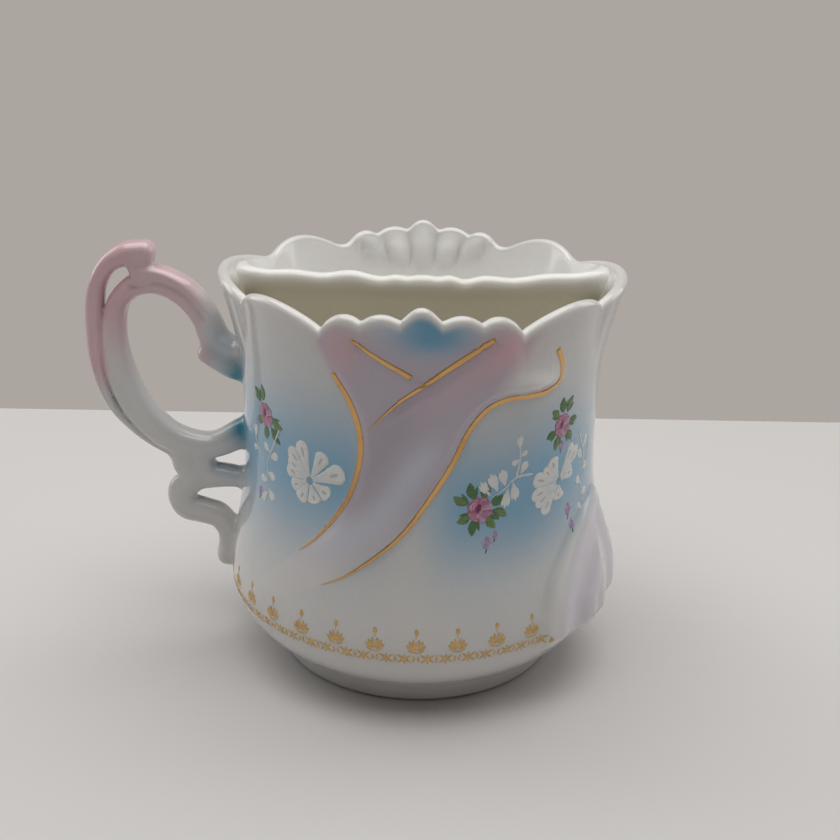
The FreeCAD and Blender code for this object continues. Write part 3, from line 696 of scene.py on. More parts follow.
BAR = [(-37, 40.2, 2.8), (-43.0, 40.6, 2.4), (-49.5, 41.0, 3.0), (-55.0, 39.8, 3.1), (-58.1, 36.8, 3.5),
       (-57.2, 33.0, 3.4), (-53.2, 31.5, 3.1), (-49.4, 30.2, 3.0), (-47.2, 26.6, 2.7), (-47.2, 22.6, 2.5),
       (-47.6, 19.4, 2.2)]
LEG_TOE = [(-47.6, 20.2, 2.3), (-44.0, 19.0, 2.0)]

GRID_STEP = 0.36
GRID_LOW = np.array([-80.5, -7.0, 13.5])
GRID_HIGH = np.array([-37.5, 7.0, 101.0])


def strand_field(points, thick, x, z, y):
    """Rough distance to a strand with a rounded, slightly flattened section."""
    line = smooth_path(points, 140)
    flat = np.stack([x.ravel(), z.ravel()], axis=1)
    best = np.full(len(flat), 1e9)
    width = np.ones(len(flat))
    for place in line:
        gap = np.hypot(flat[:, 0] - place[0], flat[:, 1] - place[1]) / place[2]
        closer = gap < best
        best = np.where(closer, gap, best)
        width = np.where(closer, place[2], width)
    best = best.reshape(x.shape)
    width = width.reshape(x.shape)
    depth = thick * np.minimum(1.0, 0.45 + 0.55 * width / 2.5)
    reach = (best[:, None, :] ** 2.5 + (np.abs(y) / depth[:, None, :]) ** 2.5) ** (1 / 2.5)
    return (reach - 1) * np.minimum(width, depth)[:, None, :]


def soft_union(a, b, blend):
    mix = np.clip(0.5 + 0.5 * (b - a) / blend, 0, 1)
    return b * (1 - mix) + a * mix - blend * mix * (1 - mix)


def surface_net(field, low, size):
    """Quads over the zero level of a field sampled on a grid."""
    nx, ny, nz = field.shape
    total = np.zeros((nx - 1, ny - 1, nz - 1, 3))
    count = np.zeros((nx - 1, ny - 1, nz - 1))
    corners = [(i, j, k) for i in (0, 1) for j in (0, 1) for k in (0, 1)]

    def corner_values(c):
        return field[c[0]:nx - 1 + c[0], c[1]:ny - 1 + c[1], c[2]:nz - 1 + c[2]]

    for a in corners:
        for b in corners:
            change = np.array(b) - np.array(a)
            if change.sum() != 1 or np.abs(change).sum() != 1:
                continue
            fa = corner_values(a)
            fb = corner_values(b)
            cross = (fa < 0) != (fb < 0)
            share = np.where(cross, fa / np.where(cross, fa - fb, 1), 0)
            for axis in range(3):
                total[..., axis] += np.where(cross, a[axis] + share * change[axis], 0)
            count += cross
    used = count > 0
    number = np.full(used.shape, -1)
    number[used] = np.arange(used.sum())
    cells = np.argwhere(used)
    points = low + (cells + total[used] / count[used][:, None]) * size
    quads = []
    inside = field < 0
    for axis, one, two in ((0, 1, 2), (1, 2, 0), (2, 0, 1)):
        here = [slice(0, n) for n in field.shape]
        there = [slice(0, n) for n in field.shape]
        here[axis] = slice(0, field.shape[axis] - 1)
        there[axis] = slice(1, field.shape[axis])
        enters = inside[tuple(here)]
        leaves = inside[tuple(there)]
        for flip, cross in ((False, enters & ~leaves), (True, ~enters & leaves)):
            at = np.argwhere(cross)
            keep = (at[:, one] > 0) & (at[:, two] > 0)
            keep &= (at[:, one] < field.shape[one] - 1) & (at[:, two] < field.shape[two] - 1)
            at = at[keep]
            shift_one, shift_two = np.eye(3, dtype=int)[[one, two]]
            ring = [at - shift_one - shift_two, at - shift_two, at, at - shift_one]
            if flip:
                ring = ring[::-1]
            quads.append(np.stack([number[tuple(r.T)] for r in ring], axis=1))
    return points, np.concatenate(quads)


def relax(points, quads, rounds):
    """Evens out the small steps of the grid."""
    edges = np.concatenate([quads[:, [i, (i + 1) % 4]] for i in range(4)])
    edges = np.unique(np.sort(edges, axis=1), axis=0)
    for turn in range(rounds):
        weight = 0.5 if turn % 2 == 0 else -0.52
        total = np.zeros_like(points)
        count = np.zeros(len(points))
        np.add.at(total, edges[:, 0], points[edges[:, 1]])
        np.add.at(total, edges[:, 1], points[edges[:, 0]])
        np.add.at(count, edges[:, 0], 1)
        np.add.at(count, edges[:, 1], 1)
        points = points + weight * (total / count[:, None] - points)
    return points


def handle_tint(points):
    """Pink over the leaf and the upper arm, fading to white; teal where the loop meets the wall."""
    x, z = points[:, 0], points[:, 2]
    colour = np.broadcast_to(WHITE * 0.985, points.shape).copy()
    grey_inside = bump(z, 74, 22) * step(-66, -69, x)
    colour = tint(colour, SHADE_GREY, 0.35 * grey_inside)
    pink = step(66, 86, z - 0.75 * (-72.5 - x)) * step(-47.5, -54, x)
    leaf = step(-72.0, -74.6, x) * step(60, 70, z)
    pink = np.maximum(np.maximum(pink, 0.95 * leaf), bump(x, -50.6, 3.2) * bump(z, 72.5, 4.5))
    colour = tint(colour, PINK * 1.03, (0.78 - 0.20 * step(-69, -61, x)) * pink)
    teal = bump(x, -42.0, 3.8) * bump(z, 67.0, 4.6) + bump(x, -41.2, 4.2) * bump(z, 54.5, 5.0)
    colour = tint(colour, TEAL, 1.25 * teal)
    faint = bump(x, -47.0, 3.5) * bump(z, 74.5, 5.5) + bump(x, -45, 5.0) * bump(z, 44.5, 4.0)
    colour = tint(colour, SKY, 0.35 * faint)
    return colour


def make_handle():
    """The strands softly joined into one form, run into the wall and meshed."""
    axis_x, axis_y, axis_z = [np.arange(GRID_LOW[i], GRID_HIGH[i], GRID_STEP) for i in range(3)]
    x, z = np.meshgrid(axis_x, axis_z, indexing="ij")
    y = axis_y[None, :, None]

    def joined(field, *strands):
        for points, thick, blend in strands:
            field = soft_union(field, strand_field(points, thick, x, z, y), blend)
        return field

    field = joined(strand_field(LOOP, 3.6, x, z, y), (ARM_RIDGE, 4.5, 0.4))
    # A shallow groove runs along both sides of the upper arm.
    line = smooth_path([(px, pz) for px, pz, _ in LOOP[8:12]], 60)
    flat = np.stack([x.ravel(), z.ravel()], axis=1)
    to_line = np.min(np.linalg.norm(flat[:, None] - line[None], axis=2), axis=1).reshape(x.shape)
    field += 0.8 * bump(to_line, 0, 1.0)[:, None, :] * step(1.2, 2.6, np.abs(y))
    field = joined(field, (LUG_LUMP, 4.2, 1.2), (KNUCKLE, 4.9, 0.6), (LEAF, 3.5, 0.2), (STEM, 2.9, 0.8),
                   (CURL, 3.8, 0.4))
    scroll = joined(strand_field(BAR, 3.0, x, z, y), (LEG_TOE, 2.6, 1.5), (LINK, 3.2, 1.0),
                    (LINK_HEEL, 3.0, 1.0))
    field = soft_union(field, scroll, 1.4)

    wall_reach = profile_radius(axis_z) + flare(np.full_like(axis_z, -90.0), axis_z)
    wall = np.hypot(x[:, None, :], y) - wall_reach[None, None, :]
    near = np.maximum(field - 3.0, 0)
    sunk = wall + 0.45 + 1.5 * near
    field = soft_union(field, sunk, 2.6)
    field = np.maximum(field, -(wall + 1.7))
    field[[0, -1], :, :] = np.maximum(field[[0, -1], :, :], 0.1)
    field[:, [0, -1], :] = np.maximum(field[:, [0, -1], :], 0.1)
    field[:, :, [0, -1]] = np.maximum(field[:, :, [0, -1]], 0.1)
    points, quads = surface_net(field, GRID_LOW, GRID_STEP)
    points = relax(points, quads, 8)
    return make_object("openwork_handle", points, quads, handle_tint(points))


# ---------- thin fired-on decoration
class Print:
    """Gathers thin strokes that lie on the wall and makes one object of them."""

    SECTION = [(-1.0, -0.05), (-1.0, 0.25), (-0.6, 0.8), (0.0, 1.0), (0.6, 0.8), (1.0, 0.25), (1.0, -0.05)]

    def __init__(self, name, clear=0.035):
        self.name = name
        self.clear = clear
        self.theta = []
        self.z = []
        self.lift = []
        self.colour = []
        self.faces = []
        self.count = 0

    def stroke(self, path, width, thick, colour, end_colour=None, rows=0):
        """A stroke along a path of (millimetres round the wall, height).

        The width is half of the stroke's, and is a number or a function of the share of its length.
        """
        length = np.linalg.norm(np.diff(np.array(path, float), axis=0), axis=1).sum()
        rows = rows or max(int(length / 0.45), 7)
        line = smooth_path(path, rows)
        ahead = np.gradient(line, axis=0)
        ahead /= np.maximum(np.linalg.norm(ahead, axis=1), 1e-6)[:, None]
        side = np.stack([-ahead[:, 1], ahead[:, 0]], axis=1)
        share = np.linspace(0, 1, rows)
        half = np.array([width(s) for s in share]) if callable(width) else np.full(rows, width)
        end_colour = colour if end_colour is None else end_colour
        blend = share[:, None]
        for offset, rise in self.SECTION:
            place = line + side * (half * offset)[:, None]
            self.theta.append(place[:, 0] / ARC)
            self.z.append(place[:, 1])
            low = -0.05 if rise < 0 else self.clear
            self.lift.append(np.full(rows, low) + max(rise, 0) * thick * np.minimum(1, half / 0.25))
            self.colour.append(np.array(colour) * (1 - blend) + np.array(end_colour) * blend)
        starts = [self.count + s * rows for s in range(len(self.SECTION))]
        for j in range(rows - 1):
            for base, above in zip(starts, starts[1:] + starts[:1]):
                self.faces.append((base + j, base + j + 1, above + j + 1, above + j))
        self.faces.append(tuple(starts))
        self.faces.append(tuple(base + rows - 1 for base in starts)[::-1])
        self.count += len(starts) * rows

    def dash(self, middle, reach, width, thick, colour, end_colour=None):
        """A short straight stroke that runs as far before its middle as after it."""
        self.stroke([middle - reach, middle, middle + reach], width, thick, colour, end_colour)

    def finish(self, material):
        points = on_wall(np.concatenate(self.theta), np.concatenate(self.z), np.concatenate(self.lift))
        piece = make_object(self.name, points, self.faces, np.concatenate(self.colour))
        piece.data.materials.append(material)
        return piece


def tapered(wide, blunt=0.0, sharp=1.0):
    """A half-width that swells from the start and runs out to a fine end."""
    def width(s):
        swell = blunt + (1 - blunt) * min(s / 0.12, 1.0)
        run_out = min((1 - s) / (0.75 * sharp), 1.0) ** 0.6
        return max(wide * swell * run_out, 0.03)
    return width


def leaf_width(wide, shape=0.7):
    def width(s):
        return max(wide * math.sin(math.pi * min(max(s, 0.0), 1.0)) ** shape, 0.02)
    return width


FACES = (0.0, 180.0)


def placed(place, turn):
    """A place on a face (degrees, height) as millimetres round the wall and height."""
    return np.array([(place[0] + turn) * ARC, place[1]])


def shifted(path, turn):
    return [placed(place, turn) for place in path]


def heading(degrees):
    return np.array([math.cos(degrees * DEGREE), math.sin(degrees * DEGREE)])


def across(way):
    """The same length, a quarter turn to the left."""
    return np.array([-way[1], way[0]])


GOLD_THICK = 0.11
PLAIN = (1.0, 1.0, 1.0)


def make_gold_lines(material):
    """The four hand-gilded lines of each face."""
    gold = Print("gilded_lines", 0.08)
    for turn in FACES:
        gold.stroke(shifted(LEFT_SWEEP, turn), tapered(0.72, 0.75), GOLD_THICK, PLAIN)
        gold.stroke(shifted(SHORT_BAR, turn), lambda s: 0.26 + 0.34 * s ** 0.8, GOLD_THICK, PLAIN)
        gold.stroke(shifted(CROSS_BAR, turn), tapered(0.58, 0.9), GOLD_THICK, PLAIN)
        gold.stroke(shifted(RIGHT_SWEEP, turn), tapered(0.64, 0.9, 0.6), GOLD_THICK, PLAIN)
    return gold.finish(material)


MOTIFS = 32
FOLD_SPAN = (36.5, 86.0)
MOTIF_HEIGHT = 22.3
SCROLL_HEIGHT = 18.2
PRINT_THICK = 0.05


def make_gold_border(material):
    """A printed border round the belly: a fan with a bud over it, and two small scrolls between fans."""
    border = Print("gold_border")
    pitch = 360.0 / MOTIFS
    for number in range(MOTIFS):
        turn = (number - MOTIFS // 2) * pitch
        if FOLD_SPAN[0] < float(front_angle(turn)) < FOLD_SPAN[1]:
            continue
        centre = turn * ARC

        def put(path, width):
            border.stroke([(centre + a, z) for a, z in path], width, PRINT_THICK, PLAIN)

        base = MOTIF_HEIGHT - 2.0
        for lean in (-62, -38, -15, 15, 38, 62):
            out_a, out_z = math.sin(lean * DEGREE), math.cos(lean * DEGREE)
            put([(0.35 * out_a, base + 0.35 * out_z), (1.3 * out_a, base + 1.1 * out_z),
                 (2.3 * out_a, base + 2.9 * out_z)], leaf_width(0.34))
        put([(-1.75, base + 0.1), (-0.8, base - 0.35), (0, base - 0.45), (0.8, base - 0.35),
             (1.75, base + 0.1)], leaf_width(0.22))
        put([(0, base + 2.9), (0, base + 3.7)], 0.10)
        put([(0, base + 3.5), (0.05, base + 4.3), (0, base + 5.2)], leaf_width(0.46))
        low = SCROLL_HEIGHT
        for side in (-1, 1):
            middle = side * pitch * ARC / 4 + 0.25 * side
            for lean in (-1, 1):
                put([(middle - 1.45, low + 1.15 * lean), (middle - 0.45, low + 0.3 * lean),
                     (middle + 0.45, low - 0.3 * lean), (middle + 1.45, low - 1.15 * lean)],
                    leaf_width(0.30, 0.5))
            for lean in (-1, 1):
                put([(middle + 1.75 * lean, low + 0.9), (middle + 1.95 * lean, low),
                     (middle + 1.75 * lean, low - 0.9)], leaf_width(0.27))
            put([(middle, low + 0.55), (middle, low + 1.35)], leaf_width(0.24))
            put([(middle, low - 0.55), (middle, low - 1.35)], leaf_width(0.20))
    return border.finish(material)


# White flowers: place, then each petal's direction, length and width.
WHITE_FLOWERS = [
    ((46.9, 53.1), [(55, 9.2, 2.2), (39, 9.9, 2.2), (116, 6.6, 2.9), (164, 8.6, 2.6), (192, 8.8, 2.2),
                    (209, 8.4, 2.0), (230, 8.3, 2.3), (272, 4.3, 2.9), (12, 5.8, 2.4), (143, 6.6, 2.0)]),
    ((-33.9, 54.8), [(107, 9.1, 2.7), (135, 8.8, 2.5), (60, 8.2, 2.6), (22, 9.7, 3.3), (170, 7.2, 2.3),
                     (204, 6.0, 2.2), (240, 6.0, 2.6), (287, 5.2, 2.7), (335, 5.9, 2.6), (152, 7.4, 1.8)]),
]
# White sprigs: stems as paths, and leaves as (tip, base, width).
SPRIG_STEMS = [
    [(35.5, 57.0), (29.5, 57.0), (25.5, 54.8), (21.5, 53.4)],
    [(29.5, 57.0), (30.6, 61.0), (30.2, 65.9)],
    [(57.5, 62.5), (62, 56), (60.5, 49), (61.5, 42.5)],
    [(66.5, 59.5), (65.0, 54.0), (62.0, 50.0)],
    [(-46.5, 64.0), (-50.0, 59.5), (-53.5, 54.5), (-53.0, 47.5)],
    [(-63.0, 61.5), (-60.0, 57.0), (-54.5, 54.0)],
]
SPRIG_LEAVES = [
    ((24.6, 59.6), (25.9, 55.6), 1.3), ((20.9, 59.0), (23.6, 54.6), 1.2), ((17.9, 57.4), (21.2, 53.8), 1.0),
    ((27.6, 60.2), (30.4, 61.0), 0.9), ((33.2, 62.6), (30.7, 61.6), 0.8), ((30.2, 66.8), (30.4, 63.2), 0.7),
    ((25.7, 50.4), (26.8, 55.0), 1.1), ((29.6, 51.6), (28.4, 56.2), 1.1), ((33.4, 60.4), (30.9, 57.6), 1.0),
    ((64.6, 60.6), (61.0, 57.4), 1.0), ((57.4, 58.2), (61.4, 55.2), 1.0), ((65.6, 53.4), (61.4, 52.4), 1.1),
    ((56.9, 51.6), (60.6, 49.4), 1.1), ((65.2, 47.2), (60.6, 46.4), 1.0), ((57.8, 44.8), (61.0, 43.6), 0.9),
    ((-47.3, 57.6), (-51.8, 56.4), 1.1), ((-55.6, 59.2), (-51.6, 57.6), 1.0),
    ((-49.0, 51.8), (-53.4, 52.4), 1.2), ((-58.0, 50.4), (-53.4, 50.6), 1.2),
    ((-49.4, 46.4), (-53.2, 48.8), 1.1), ((-57.0, 45.2), (-53.0, 48.0), 1.1),
    ((-63.6, 56.4), (-59.8, 56.6), 1.0), ((-60.4, 62.2), (-61.4, 58.8), 0.9),
]
ENAMEL = (0.84, 0.85, 0.83)
ENAMEL_THIN = (0.70, 0.74, 0.76)
PETAL_DIP = (0.55, 0.56, 0.56)
PETAL_SHADOW = (0.34, 0.42, 0.48)
PETAL_START = 0.9


def petal_width(half):
    """Narrow at the flower's middle, broadest near the tip, with a round end."""
    broadest = 0.76

    def width(s):
        grow = 0.20 + 0.80 * min(s / broadest, 1.0) ** 1.2
        close = math.sqrt(max(1 - (max(s - broadest, 0) / (1 - broadest)) ** 2, 0))
        return max(half * grow * close, 0.03)
    return width


def make_white_flowers(material):
    """Petals in raised white enamel, each with a grey dip and vein, and the sprigs beside them."""
    white = Print("white_enamel_flowers")
    for turn in FACES:
        for place, petals in WHITE_FLOWERS:
            centre = placed(place, turn)
            for angle, length, wide in petals:
                ahead = heading(angle)
                base = centre + ahead * PETAL_START
                reach = ahead * (length - PETAL_START)

                def spots(*shares):
                    return [base + reach * share for share in shares]

                white.stroke(spots(0.0, 0.5, 1.0), petal_width(wide * 0.71), 0.07, ENAMEL_THIN, ENAMEL, 26)
                white.stroke(spots(0.50, 0.68, 0.86), leaf_width(wide * 0.20), 0.085, PETAL_DIP)
                white.stroke(spots(0.10, 0.30, 0.52), leaf_width(0.16), 0.085, PETAL_SHADOW)
            for dot in range(5):
                white.dash(centre + 0.55 * heading(dot * 72), (0.14, 0), leaf_width(0.16, 0.5), 0.09,
                           PETAL_SHADOW)
        for stem in SPRIG_STEMS:
            white.stroke(shifted(stem, turn), tapered(0.26, 0.8), 0.05, ENAMEL_THIN)
        for tip_place, base_place, wide in SPRIG_LEAVES:
            tip = placed(tip_place, turn)
            base = placed(base_place, turn)
            length = tip - base
            side = across(length) * 0.17
            for spread in (-1, 0, 1):
                start = base + 0.25 * abs(spread) * length + 0.6 * spread * side
                end = tip - 0.12 * abs(spread) * length + spread * side
                white.stroke([start, (start + end) / 2 + 0.12 * side, end],
                             leaf_width(wide * (0.60 - 0.16 * abs(spread)), 0.8), 0.05, ENAMEL_THIN, ENAMEL)
    return white.finish(material)


# Roses: place, size, lean of the bloom; leaves as (place of the tip, place of the base).
ROSES = [
    ((17.6, 51.2), 2.35, 65,
     [((14.8, 57.4), (16.4, 53.4)), ((10.0, 54.6), (14.6, 52.6)), ((11.0, 48.6), (15.2, 50.2)),
      ((15.6, 45.2), (17.0, 49.2)), ((23.0, 46.4), (20.2, 50.0)), ((26.6, 48.6), (22.0, 50.6)),
      ((25.4, 53.8), (21.6, 51.8)), ((20.2, 57.0), (19.0, 53.4))]),
    ((46.9, 66.2), 2.15, 72,
     [((46.4, 72.8), (47.0, 69.0)), ((51.4, 72.4), (49.0, 68.8)), ((41.8, 70.2), (45.0, 68.0)),
      ((40.4, 64.0), (44.6, 64.8)), ((44.6, 60.6), (46.2, 64.0)), ((52.6, 61.6), (49.4, 64.4)),
      ((55.0, 66.4), (50.4, 66.0))]),
    ((-53.9, 66.2), 2.2, 80,
     [((-59.8, 71.4), (-56.0, 68.6)), ((-54.6, 73.0), (-54.6, 69.0)), ((-44.8, 64.4), (-50.4, 65.6)),
      ((-46.2, 60.6), (-50.8, 63.6)), ((-53.4, 60.2), (-53.6, 63.4)), ((-58.6, 63.0), (-56.2, 65.0))]),
]
FLORETS = [(20.3, 43.4, 1.5), (52.3, 45.4, 1.6), (53.6, 41.6, 1.2), (-57.6, 47.0, 1.3),
           (47.6, 61.4, 1.2), (22.9, 44.9, 1.0)]
FLORET_EYE = (0.62, 0.50, 0.22)
ROSE_DARK = (0.20, 0.025, 0.075)
ROSE_MID = (0.38, 0.10, 0.21)
ROSE_PALE = (0.55, 0.26, 0.39)
ROSE_EDGE = (0.68, 0.47, 0.57)
LILAC = (0.42, 0.30, 0.55)
LILAC_PALE = (0.62, 0.53, 0.74)
GREEN_DARK = (0.05, 0.15, 0.05)
GREEN_MID = (0.10, 0.23, 0.07)
GREEN_PALE = (0.20, 0.29, 0.11)


def paint_leaf(bloom, tip, base, bow, shade, light):
    """A leaf bowed to one side, with a lighter half, a dark vein and a side blade each way."""
    length = tip - base
    middle = (tip + base) / 2
    side = across(length) * 0.09 * bow
    path = [base, middle + side, tip]
    bloom.stroke(path, leaf_width(0.95, 0.8), 0.03, shade, light)
    half = [base + 0.1 * length, middle + 1.6 * side, tip - 0.1 * length]
    bloom.stroke(half, leaf_width(0.42, 0.8), 0.045, light, shade)
    bloom.stroke(path, leaf_width(0.11), 0.055, GREEN_DARK)
    for swing in (-26, 26):
        turned = heading(swing)
        blade = 0.74 * (length * turned[0] + across(length) * turned[1])
        bloom.stroke([base, base + 0.55 * blade, base + blade], leaf_width(0.42, 0.8), 0.028,
                     GREEN_DARK, GREEN_MID)


def paint_petals(bloom, centre, size, lean):
    """Two rings of cupped petals, the outer one first, each with a pale edge."""
    for ring, (reach, count, long, wide) in enumerate(((1.0, 8, 1.9, 1.15), (0.55, 6, 1.5, 1.0))):
        for number in range(count):
            out = heading(lean + 360 * number / count + 22 * ring)
            cross = across(out) * long * 0.55
            middle = centre + out * size * reach * 0.78 + (0.35, -0.25)
            path = [middle - cross - out * 0.3, middle + out * 0.25, middle + cross - out * 0.3]
            lit = out[0] - 0.6 * out[1] > 0.1
            tone = ROSE_PALE if lit else ROSE_MID
            tone = LILAC_PALE if lit and number % 2 else tone
            bloom.stroke(path, leaf_width(wide * size / 2.4, 0.6), 0.035 + 0.02 * ring, tone,
                         ROSE_MID if lit else ROSE_PALE)
            bloom.stroke([spot + out * 0.42 for spot in path], leaf_width(0.16), 0.06 + 0.02 * ring,
                         ROSE_EDGE)


def paint_heart(bloom, heart, size, lean):
    """The rose's dark middle, with pale strokes round it."""
    axis = heading(lean) * size
    cross = across(heading(lean))
    bloom.dash(heart, axis * 0.62, leaf_width(size * 0.52, 0.5), 0.085, ROSE_MID)
    bloom.stroke([heart - axis * 0.45, heart - cross * 0.1, heart + axis * 0.5],
                 leaf_width(size * 0.32, 0.6), 0.11, ROSE_DARK)
    for offset, bow in ((0.42, 0.30), (-0.42, -0.30), (0.72, 0.45)):
        shift = cross * size * offset
        bloom.stroke([heart - axis * 0.55 + shift * 0.55, heart + shift + cross * bow * 0.2,
                      heart + axis * 0.58 + shift * 0.4], leaf_width(0.17), 0.12, ROSE_EDGE)


def paint_floret(bloom, centre, size):
    for number in range(5):
        out = heading(72 * number + 20) * size
        bloom.stroke([centre + out * 0.2 / size, centre + out * 0.6, centre + out],
                     leaf_width(size * 0.34, 0.6), 0.04, LILAC, LILAC if number % 2 else LILAC_PALE)
    bloom.dash(centre, (0.2, 0), leaf_width(0.2, 0.5), 0.07, FLORET_EYE)
    bloom.stroke([centre - (0.1, size * 0.8), centre - (0.5, size * 1.6)], leaf_width(0.14), 0.04,
                 GREEN_DARK)


def make_roses(material):
    """Small painted roses and florets: leaves first, then petals and heart."""
    bloom = Print("painted_roses")
    chance = random.Random(11)
    for turn in FACES:
        for place, size, lean, leaves in ROSES:
            centre = placed(place, turn)
            for number, (tip, base) in enumerate(leaves):
                shade, light = (GREEN_MID, GREEN_PALE) if number % 3 else (GREEN_DARK, GREEN_MID)
                paint_leaf(bloom, placed(tip, turn), placed(base, turn), chance.choice((-1, 1)), shade, light)
            paint_petals(bloom, centre, size, lean)
            paint_heart(bloom, centre + (-0.15, 0.15), size, lean)
        for a, z, size in FLORETS:
            paint_floret(bloom, placed((a, z), turn), size)
    return bloom.finish(material)


# ---------- materials
def set_inputs(node, values):
    for name, value in values.items():
        node.inputs[name].default_value = value


def new_material(name):
    material = bpy.data.materials.new(name)
    material.use_nodes = True
    tree = material.node_tree
    return material, tree, tree.nodes["Principled BSDF"]


def add_node(tree, kind, values, links):
    """A new node with some inputs set and some linked."""
    node = tree.nodes.new("ShaderNode" + kind)
    set_inputs(node, values)
    for name, source in links.items():
        tree.links.new(source, node.inputs[name])
    return node


def noise(tree, scale, detail=3.0, rough=0.5):
    place = add_node(tree, "TexCoord", {}, {})
    values = {"Scale": scale, "Detail": detail, "Roughness": rough}
    return add_node(tree, "TexNoise", values, {"Vector": place.outputs["Object"]}).outputs["Fac"]


def ranged(tree, value, low, high):
    """The middle of a noise's range, spread from low to high."""
    values = {"From Min": 0.3, "From Max": 0.7, "To Min": low, "To Max": high}
    return add_node(tree, "MapRange", values, {"Value": value}).outputs["Result"]


def two_tone(tree, value, first, second, low=0.0, high=1.0):
    """From the first colour to the second, as the value goes from low to high."""
    ramp = add_node(tree, "ValToRGB", {}, {"Fac": value})
    for end, place, colour in ((0, low, first), (1, high, second)):
        ramp.color_ramp.elements[end].position = place
        ramp.color_ramp.elements[end].color = (*colour, 1)
    return ramp.outputs["Color"]


def shade_colour(tree, colour, amount):
    """The colour times a grey amount."""
    node = add_node(tree, "VectorMath", {}, {})
    node.operation = "SCALE"
    tree.links.new(colour, node.inputs[0])
    tree.links.new(amount, node.inputs["Scale"])
    return node.outputs["Vector"]


def painted(tree):
    node = add_node(tree, "VertexColor", {}, {})
    node.layer_name = "glaze_tint_and_painted_light"
    return node.outputs["Color"]


def surface(tree, shader, colour, rough):
    tree.links.new(colour, shader.inputs["Base Color"])
    tree.links.new(rough, shader.inputs["Roughness"])


def bumped(tree, shader, value, strength, distance):
    node = add_node(tree, "Bump", {"Strength": strength, "Distance": distance}, {"Height": value})
    tree.links.new(node.outputs["Normal"], shader.inputs["Normal"])


def porcelain(name, rough=0.11):
    """Clear-glazed white ware: sprayed tints with painted light and shade, a slightly uneven glaze and a soft
    glow under it.
    """
    material, tree, shader = new_material(name)
    grain = ranged(tree, noise(tree, 2600, 2), 0.975, 1.02)
    cloud = ranged(tree, noise(tree, 55, 4), 0.975, 1.015)
    colour = shade_colour(tree, shade_colour(tree, painted(tree), grain), cloud)
    surface(tree, shader, colour, ranged(tree, noise(tree, 160, 3), rough - 0.03, rough + 0.05))
    bumped(tree, shader, noise(tree, 130, 2), 0.10, 0.0006)
    set_inputs(shader, {"IOR": 1.5, "Coat Weight": 0.35, "Coat Roughness": 0.05, "Subsurface Weight": 0.12,
                        "Subsurface Radius": (1.0, 0.9, 0.75), "Subsurface Scale": 0.0015})
    return material


def bisque():
    """Unglazed, slightly sandy porcelain with faint grey wear."""
    material, tree, shader = new_material("bare_bisque")
    colour = two_tone(tree, noise(tree, 420, 5, 0.6), (0.56, 0.53, 0.48), (0.76, 0.74, 0.70), 0.30, 0.62)
    surface(tree, shader, colour, ranged(tree, noise(tree, 900, 3), 0.22, 0.62))
    bumped(tree, shader, noise(tree, 2400, 3), 0.25, 0.0002)
    return material


def gilding(name, light, dark, worn, rough):
    """Fired gold: brushed on, a little worn, so its colour and gloss vary."""
    material, tree, shader = new_material(name)
    colour = two_tone(tree, noise(tree, worn, 4, 0.6), dark, light, 0.30, 0.66)
    surface(tree, shader, colour, ranged(tree, noise(tree, worn * 2, 3), rough - 0.08, rough + 0.15))
    bumped(tree, shader, noise(tree, 1500, 3), 0.25, 0.00006)
    set_inputs(shader, {"Metallic": 0.72})
    return material


def enamel(name, grain_low=0.80, grain_high=1.12):
    """Overglaze colour: glossy, slightly grainy, each stroke keeping its own tint."""
    material, tree, shader = new_material(name)
    grain = ranged(tree, noise(tree, 1900, 4, 0.65), grain_low, grain_high)
    colour = shade_colour(tree, painted(tree), grain)
    surface(tree, shader, colour, ranged(tree, noise(tree, 700, 3), 0.20, 0.38))
    bumped(tree, shader, noise(tree, 1700, 3), 0.20, 0.00005)
    return material


def matte_sweep(name, base, rough):
    """A plain pale stage surface with a faint mottle."""
    material, tree, shader = new_material(name)
    dark, light = [tuple(c * shade for c in base) for shade in (0.985, 1.012)]
    tree.links.new(two_tone(tree, noise(tree, 9, 3), dark, light), shader.inputs["Base Color"])
    set_inputs(shader, {"Roughness": rough, "Specular IOR Level": 0.25})
    return material


# ---------- building
glaze = porcelain("white_glaze")
inside_glaze = porcelain("inside_glaze", 0.14)
handle_glaze = porcelain("handle_glaze", 0.10)

wall = make_wall()
wall.data.materials.append(glaze)
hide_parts("body_wall", "base_floor")

foot = make_foot_ring(glaze, bisque())
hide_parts("foot_ring")

divider = make_divider()
divider.data.materials.append(inside_glaze)
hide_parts("divider_wall")

tray = make_tray()
tray.data.materials.append(inside_glaze)
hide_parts("soap_shelf")

handle = make_handle()
handle.data.materials.append(handle_glaze)
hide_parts("handle_loop", "handle_leaf", "handle_thumb_stem", "handle_upper_lug", "handle_link",
            "handle_scroll")

gold_line_finish = gilding("brushed_gold", (0.82, 0.50, 0.19), (0.62, 0.33, 0.12), 110, 0.30)
gold_print_finish = gilding("printed_gold", (0.78, 0.52, 0.21), (0.50, 0.35, 0.17), 1100, 0.38)
enamel_finish = enamel("raised_enamel")
make_gold_lines(gold_line_finish)
make_gold_border(gold_print_finish)
make_white_flowers(enamel("white_enamel", 0.96, 1.03))
make_roses(enamel_finish)


# ---------- stage, light, camera
CAMERA_BACK = 0.2628
CAMERA_HIGH = 0.1542
CAMERA_PITCH = 20.46
CAMERA_ROLL = 0.98
CAMERA_LENS = 50.0
FLOOR_BACK = 0.156
FLOOR_SPAN = 1.2
BACKDROP = (0.413, 0.378, 0.352)
DIM_SIDE = (0.12, 0.112, 0.106)
SKYLIGHT = (0.075, 0.072, 0.070)
FLOOR_COLOUR = (0.69, 0.672, 0.663)
FLOOR_LOW = -0.0002
LIGHT_TARGET = (0, 0, 0.05)


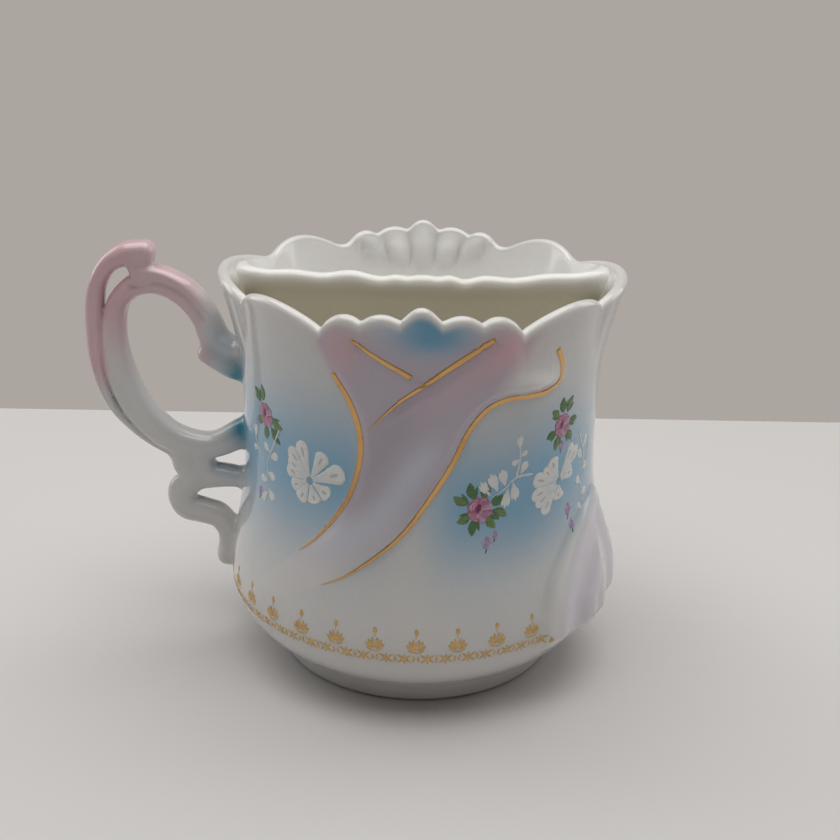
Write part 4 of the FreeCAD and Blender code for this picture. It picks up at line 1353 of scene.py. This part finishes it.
def make_floor():
    corners = [(x, y, FLOOR_LOW) for x, y in ((-FLOOR_SPAN, -FLOOR_SPAN), (FLOOR_SPAN, -FLOOR_SPAN),
                                              (FLOOR_SPAN, FLOOR_BACK), (-FLOOR_SPAN, FLOOR_BACK))]
    mesh = bpy.data.meshes.new("floor")
    mesh.from_pydata(corners, [], [(0, 1, 2, 3)])
    floor = in_scene("floor", mesh)
    mesh.materials.append(matte_sweep("pale_floor", FLOOR_COLOUR, 0.6))


def make_world():
    """A pale backdrop low down and a dimmer sky above it."""
    world = bpy.data.worlds.new("soft_room")
    world.use_nodes = True
    tree = world.node_tree
    place = add_node(tree, "TexCoord", {}, {})
    split = add_node(tree, "SeparateXYZ", {}, {"Vector": place.outputs["Generated"]})

    def blend(source, low, high, first, second):
        """A ramp between two colours as one direction of the sky goes from low to high."""
        spread = add_node(tree, "MapRange", {"From Min": low, "From Max": high},
                          {"Value": split.outputs[source]})
        spread.interpolation_type = "SMOOTHSTEP"
        mix = tree.nodes.new("ShaderNodeMix")
        mix.data_type = "RGBA"
        set_inputs(mix, {"A": first + (1,), "B": second + (1,)})
        tree.links.new(spread.outputs["Result"], mix.inputs["Factor"])
        return mix

    around_room = blend("Y", -0.5, 0.6, DIM_SIDE, BACKDROP)
    upward = blend("Z", 0.02, 0.42, BACKDROP, SKYLIGHT)
    tree.links.new(around_room.outputs["Result"], upward.inputs["A"])
    tree.links.new(upward.outputs["Result"], tree.nodes["Background"].inputs["Color"])
    bpy.context.scene.world = world


def area_light(name, place, size, power, colour):
    data = bpy.data.lights.new(name, "AREA")
    data.shape = "RECTANGLE"
    data.size, data.size_y = size
    data.energy = power
    data.color = colour
    light = in_scene(name, data)
    light.location = place
    light.rotation_euler = (Vector(LIGHT_TARGET) - Vector(place)).to_track_quat("-Z", "Y").to_euler()


def make_camera():
    data = bpy.data.cameras.new("camera")
    data.lens = CAMERA_LENS
    data.sensor_width = 36.0
    data.clip_start = 0.01
    camera = in_scene("camera", data)
    tilt = Matrix.Rotation(math.radians(90 - CAMERA_PITCH), 4, "X")
    roll = Matrix.Rotation(math.radians(CAMERA_ROLL), 4, "Z")
    camera.matrix_world = Matrix.Translation((0, -CAMERA_BACK, CAMERA_HIGH)) @ tilt @ roll
    bpy.context.scene.camera = camera


make_floor()
make_world()
area_light("overhead", (0.0, 0.02, 0.80), (1.0, 0.9), 6.7, (1.0, 0.985, 0.955))
area_light("left_behind", (-0.62, 0.30, 0.34), (0.4, 0.5), 1.0, (0.96, 0.98, 1.0))
area_light("right_behind", (0.62, 0.30, 0.34), (0.4, 0.5), 0.8, (0.98, 0.98, 1.0))
make_camera()
bpy.context.scene.view_settings.view_transform = "Standard"
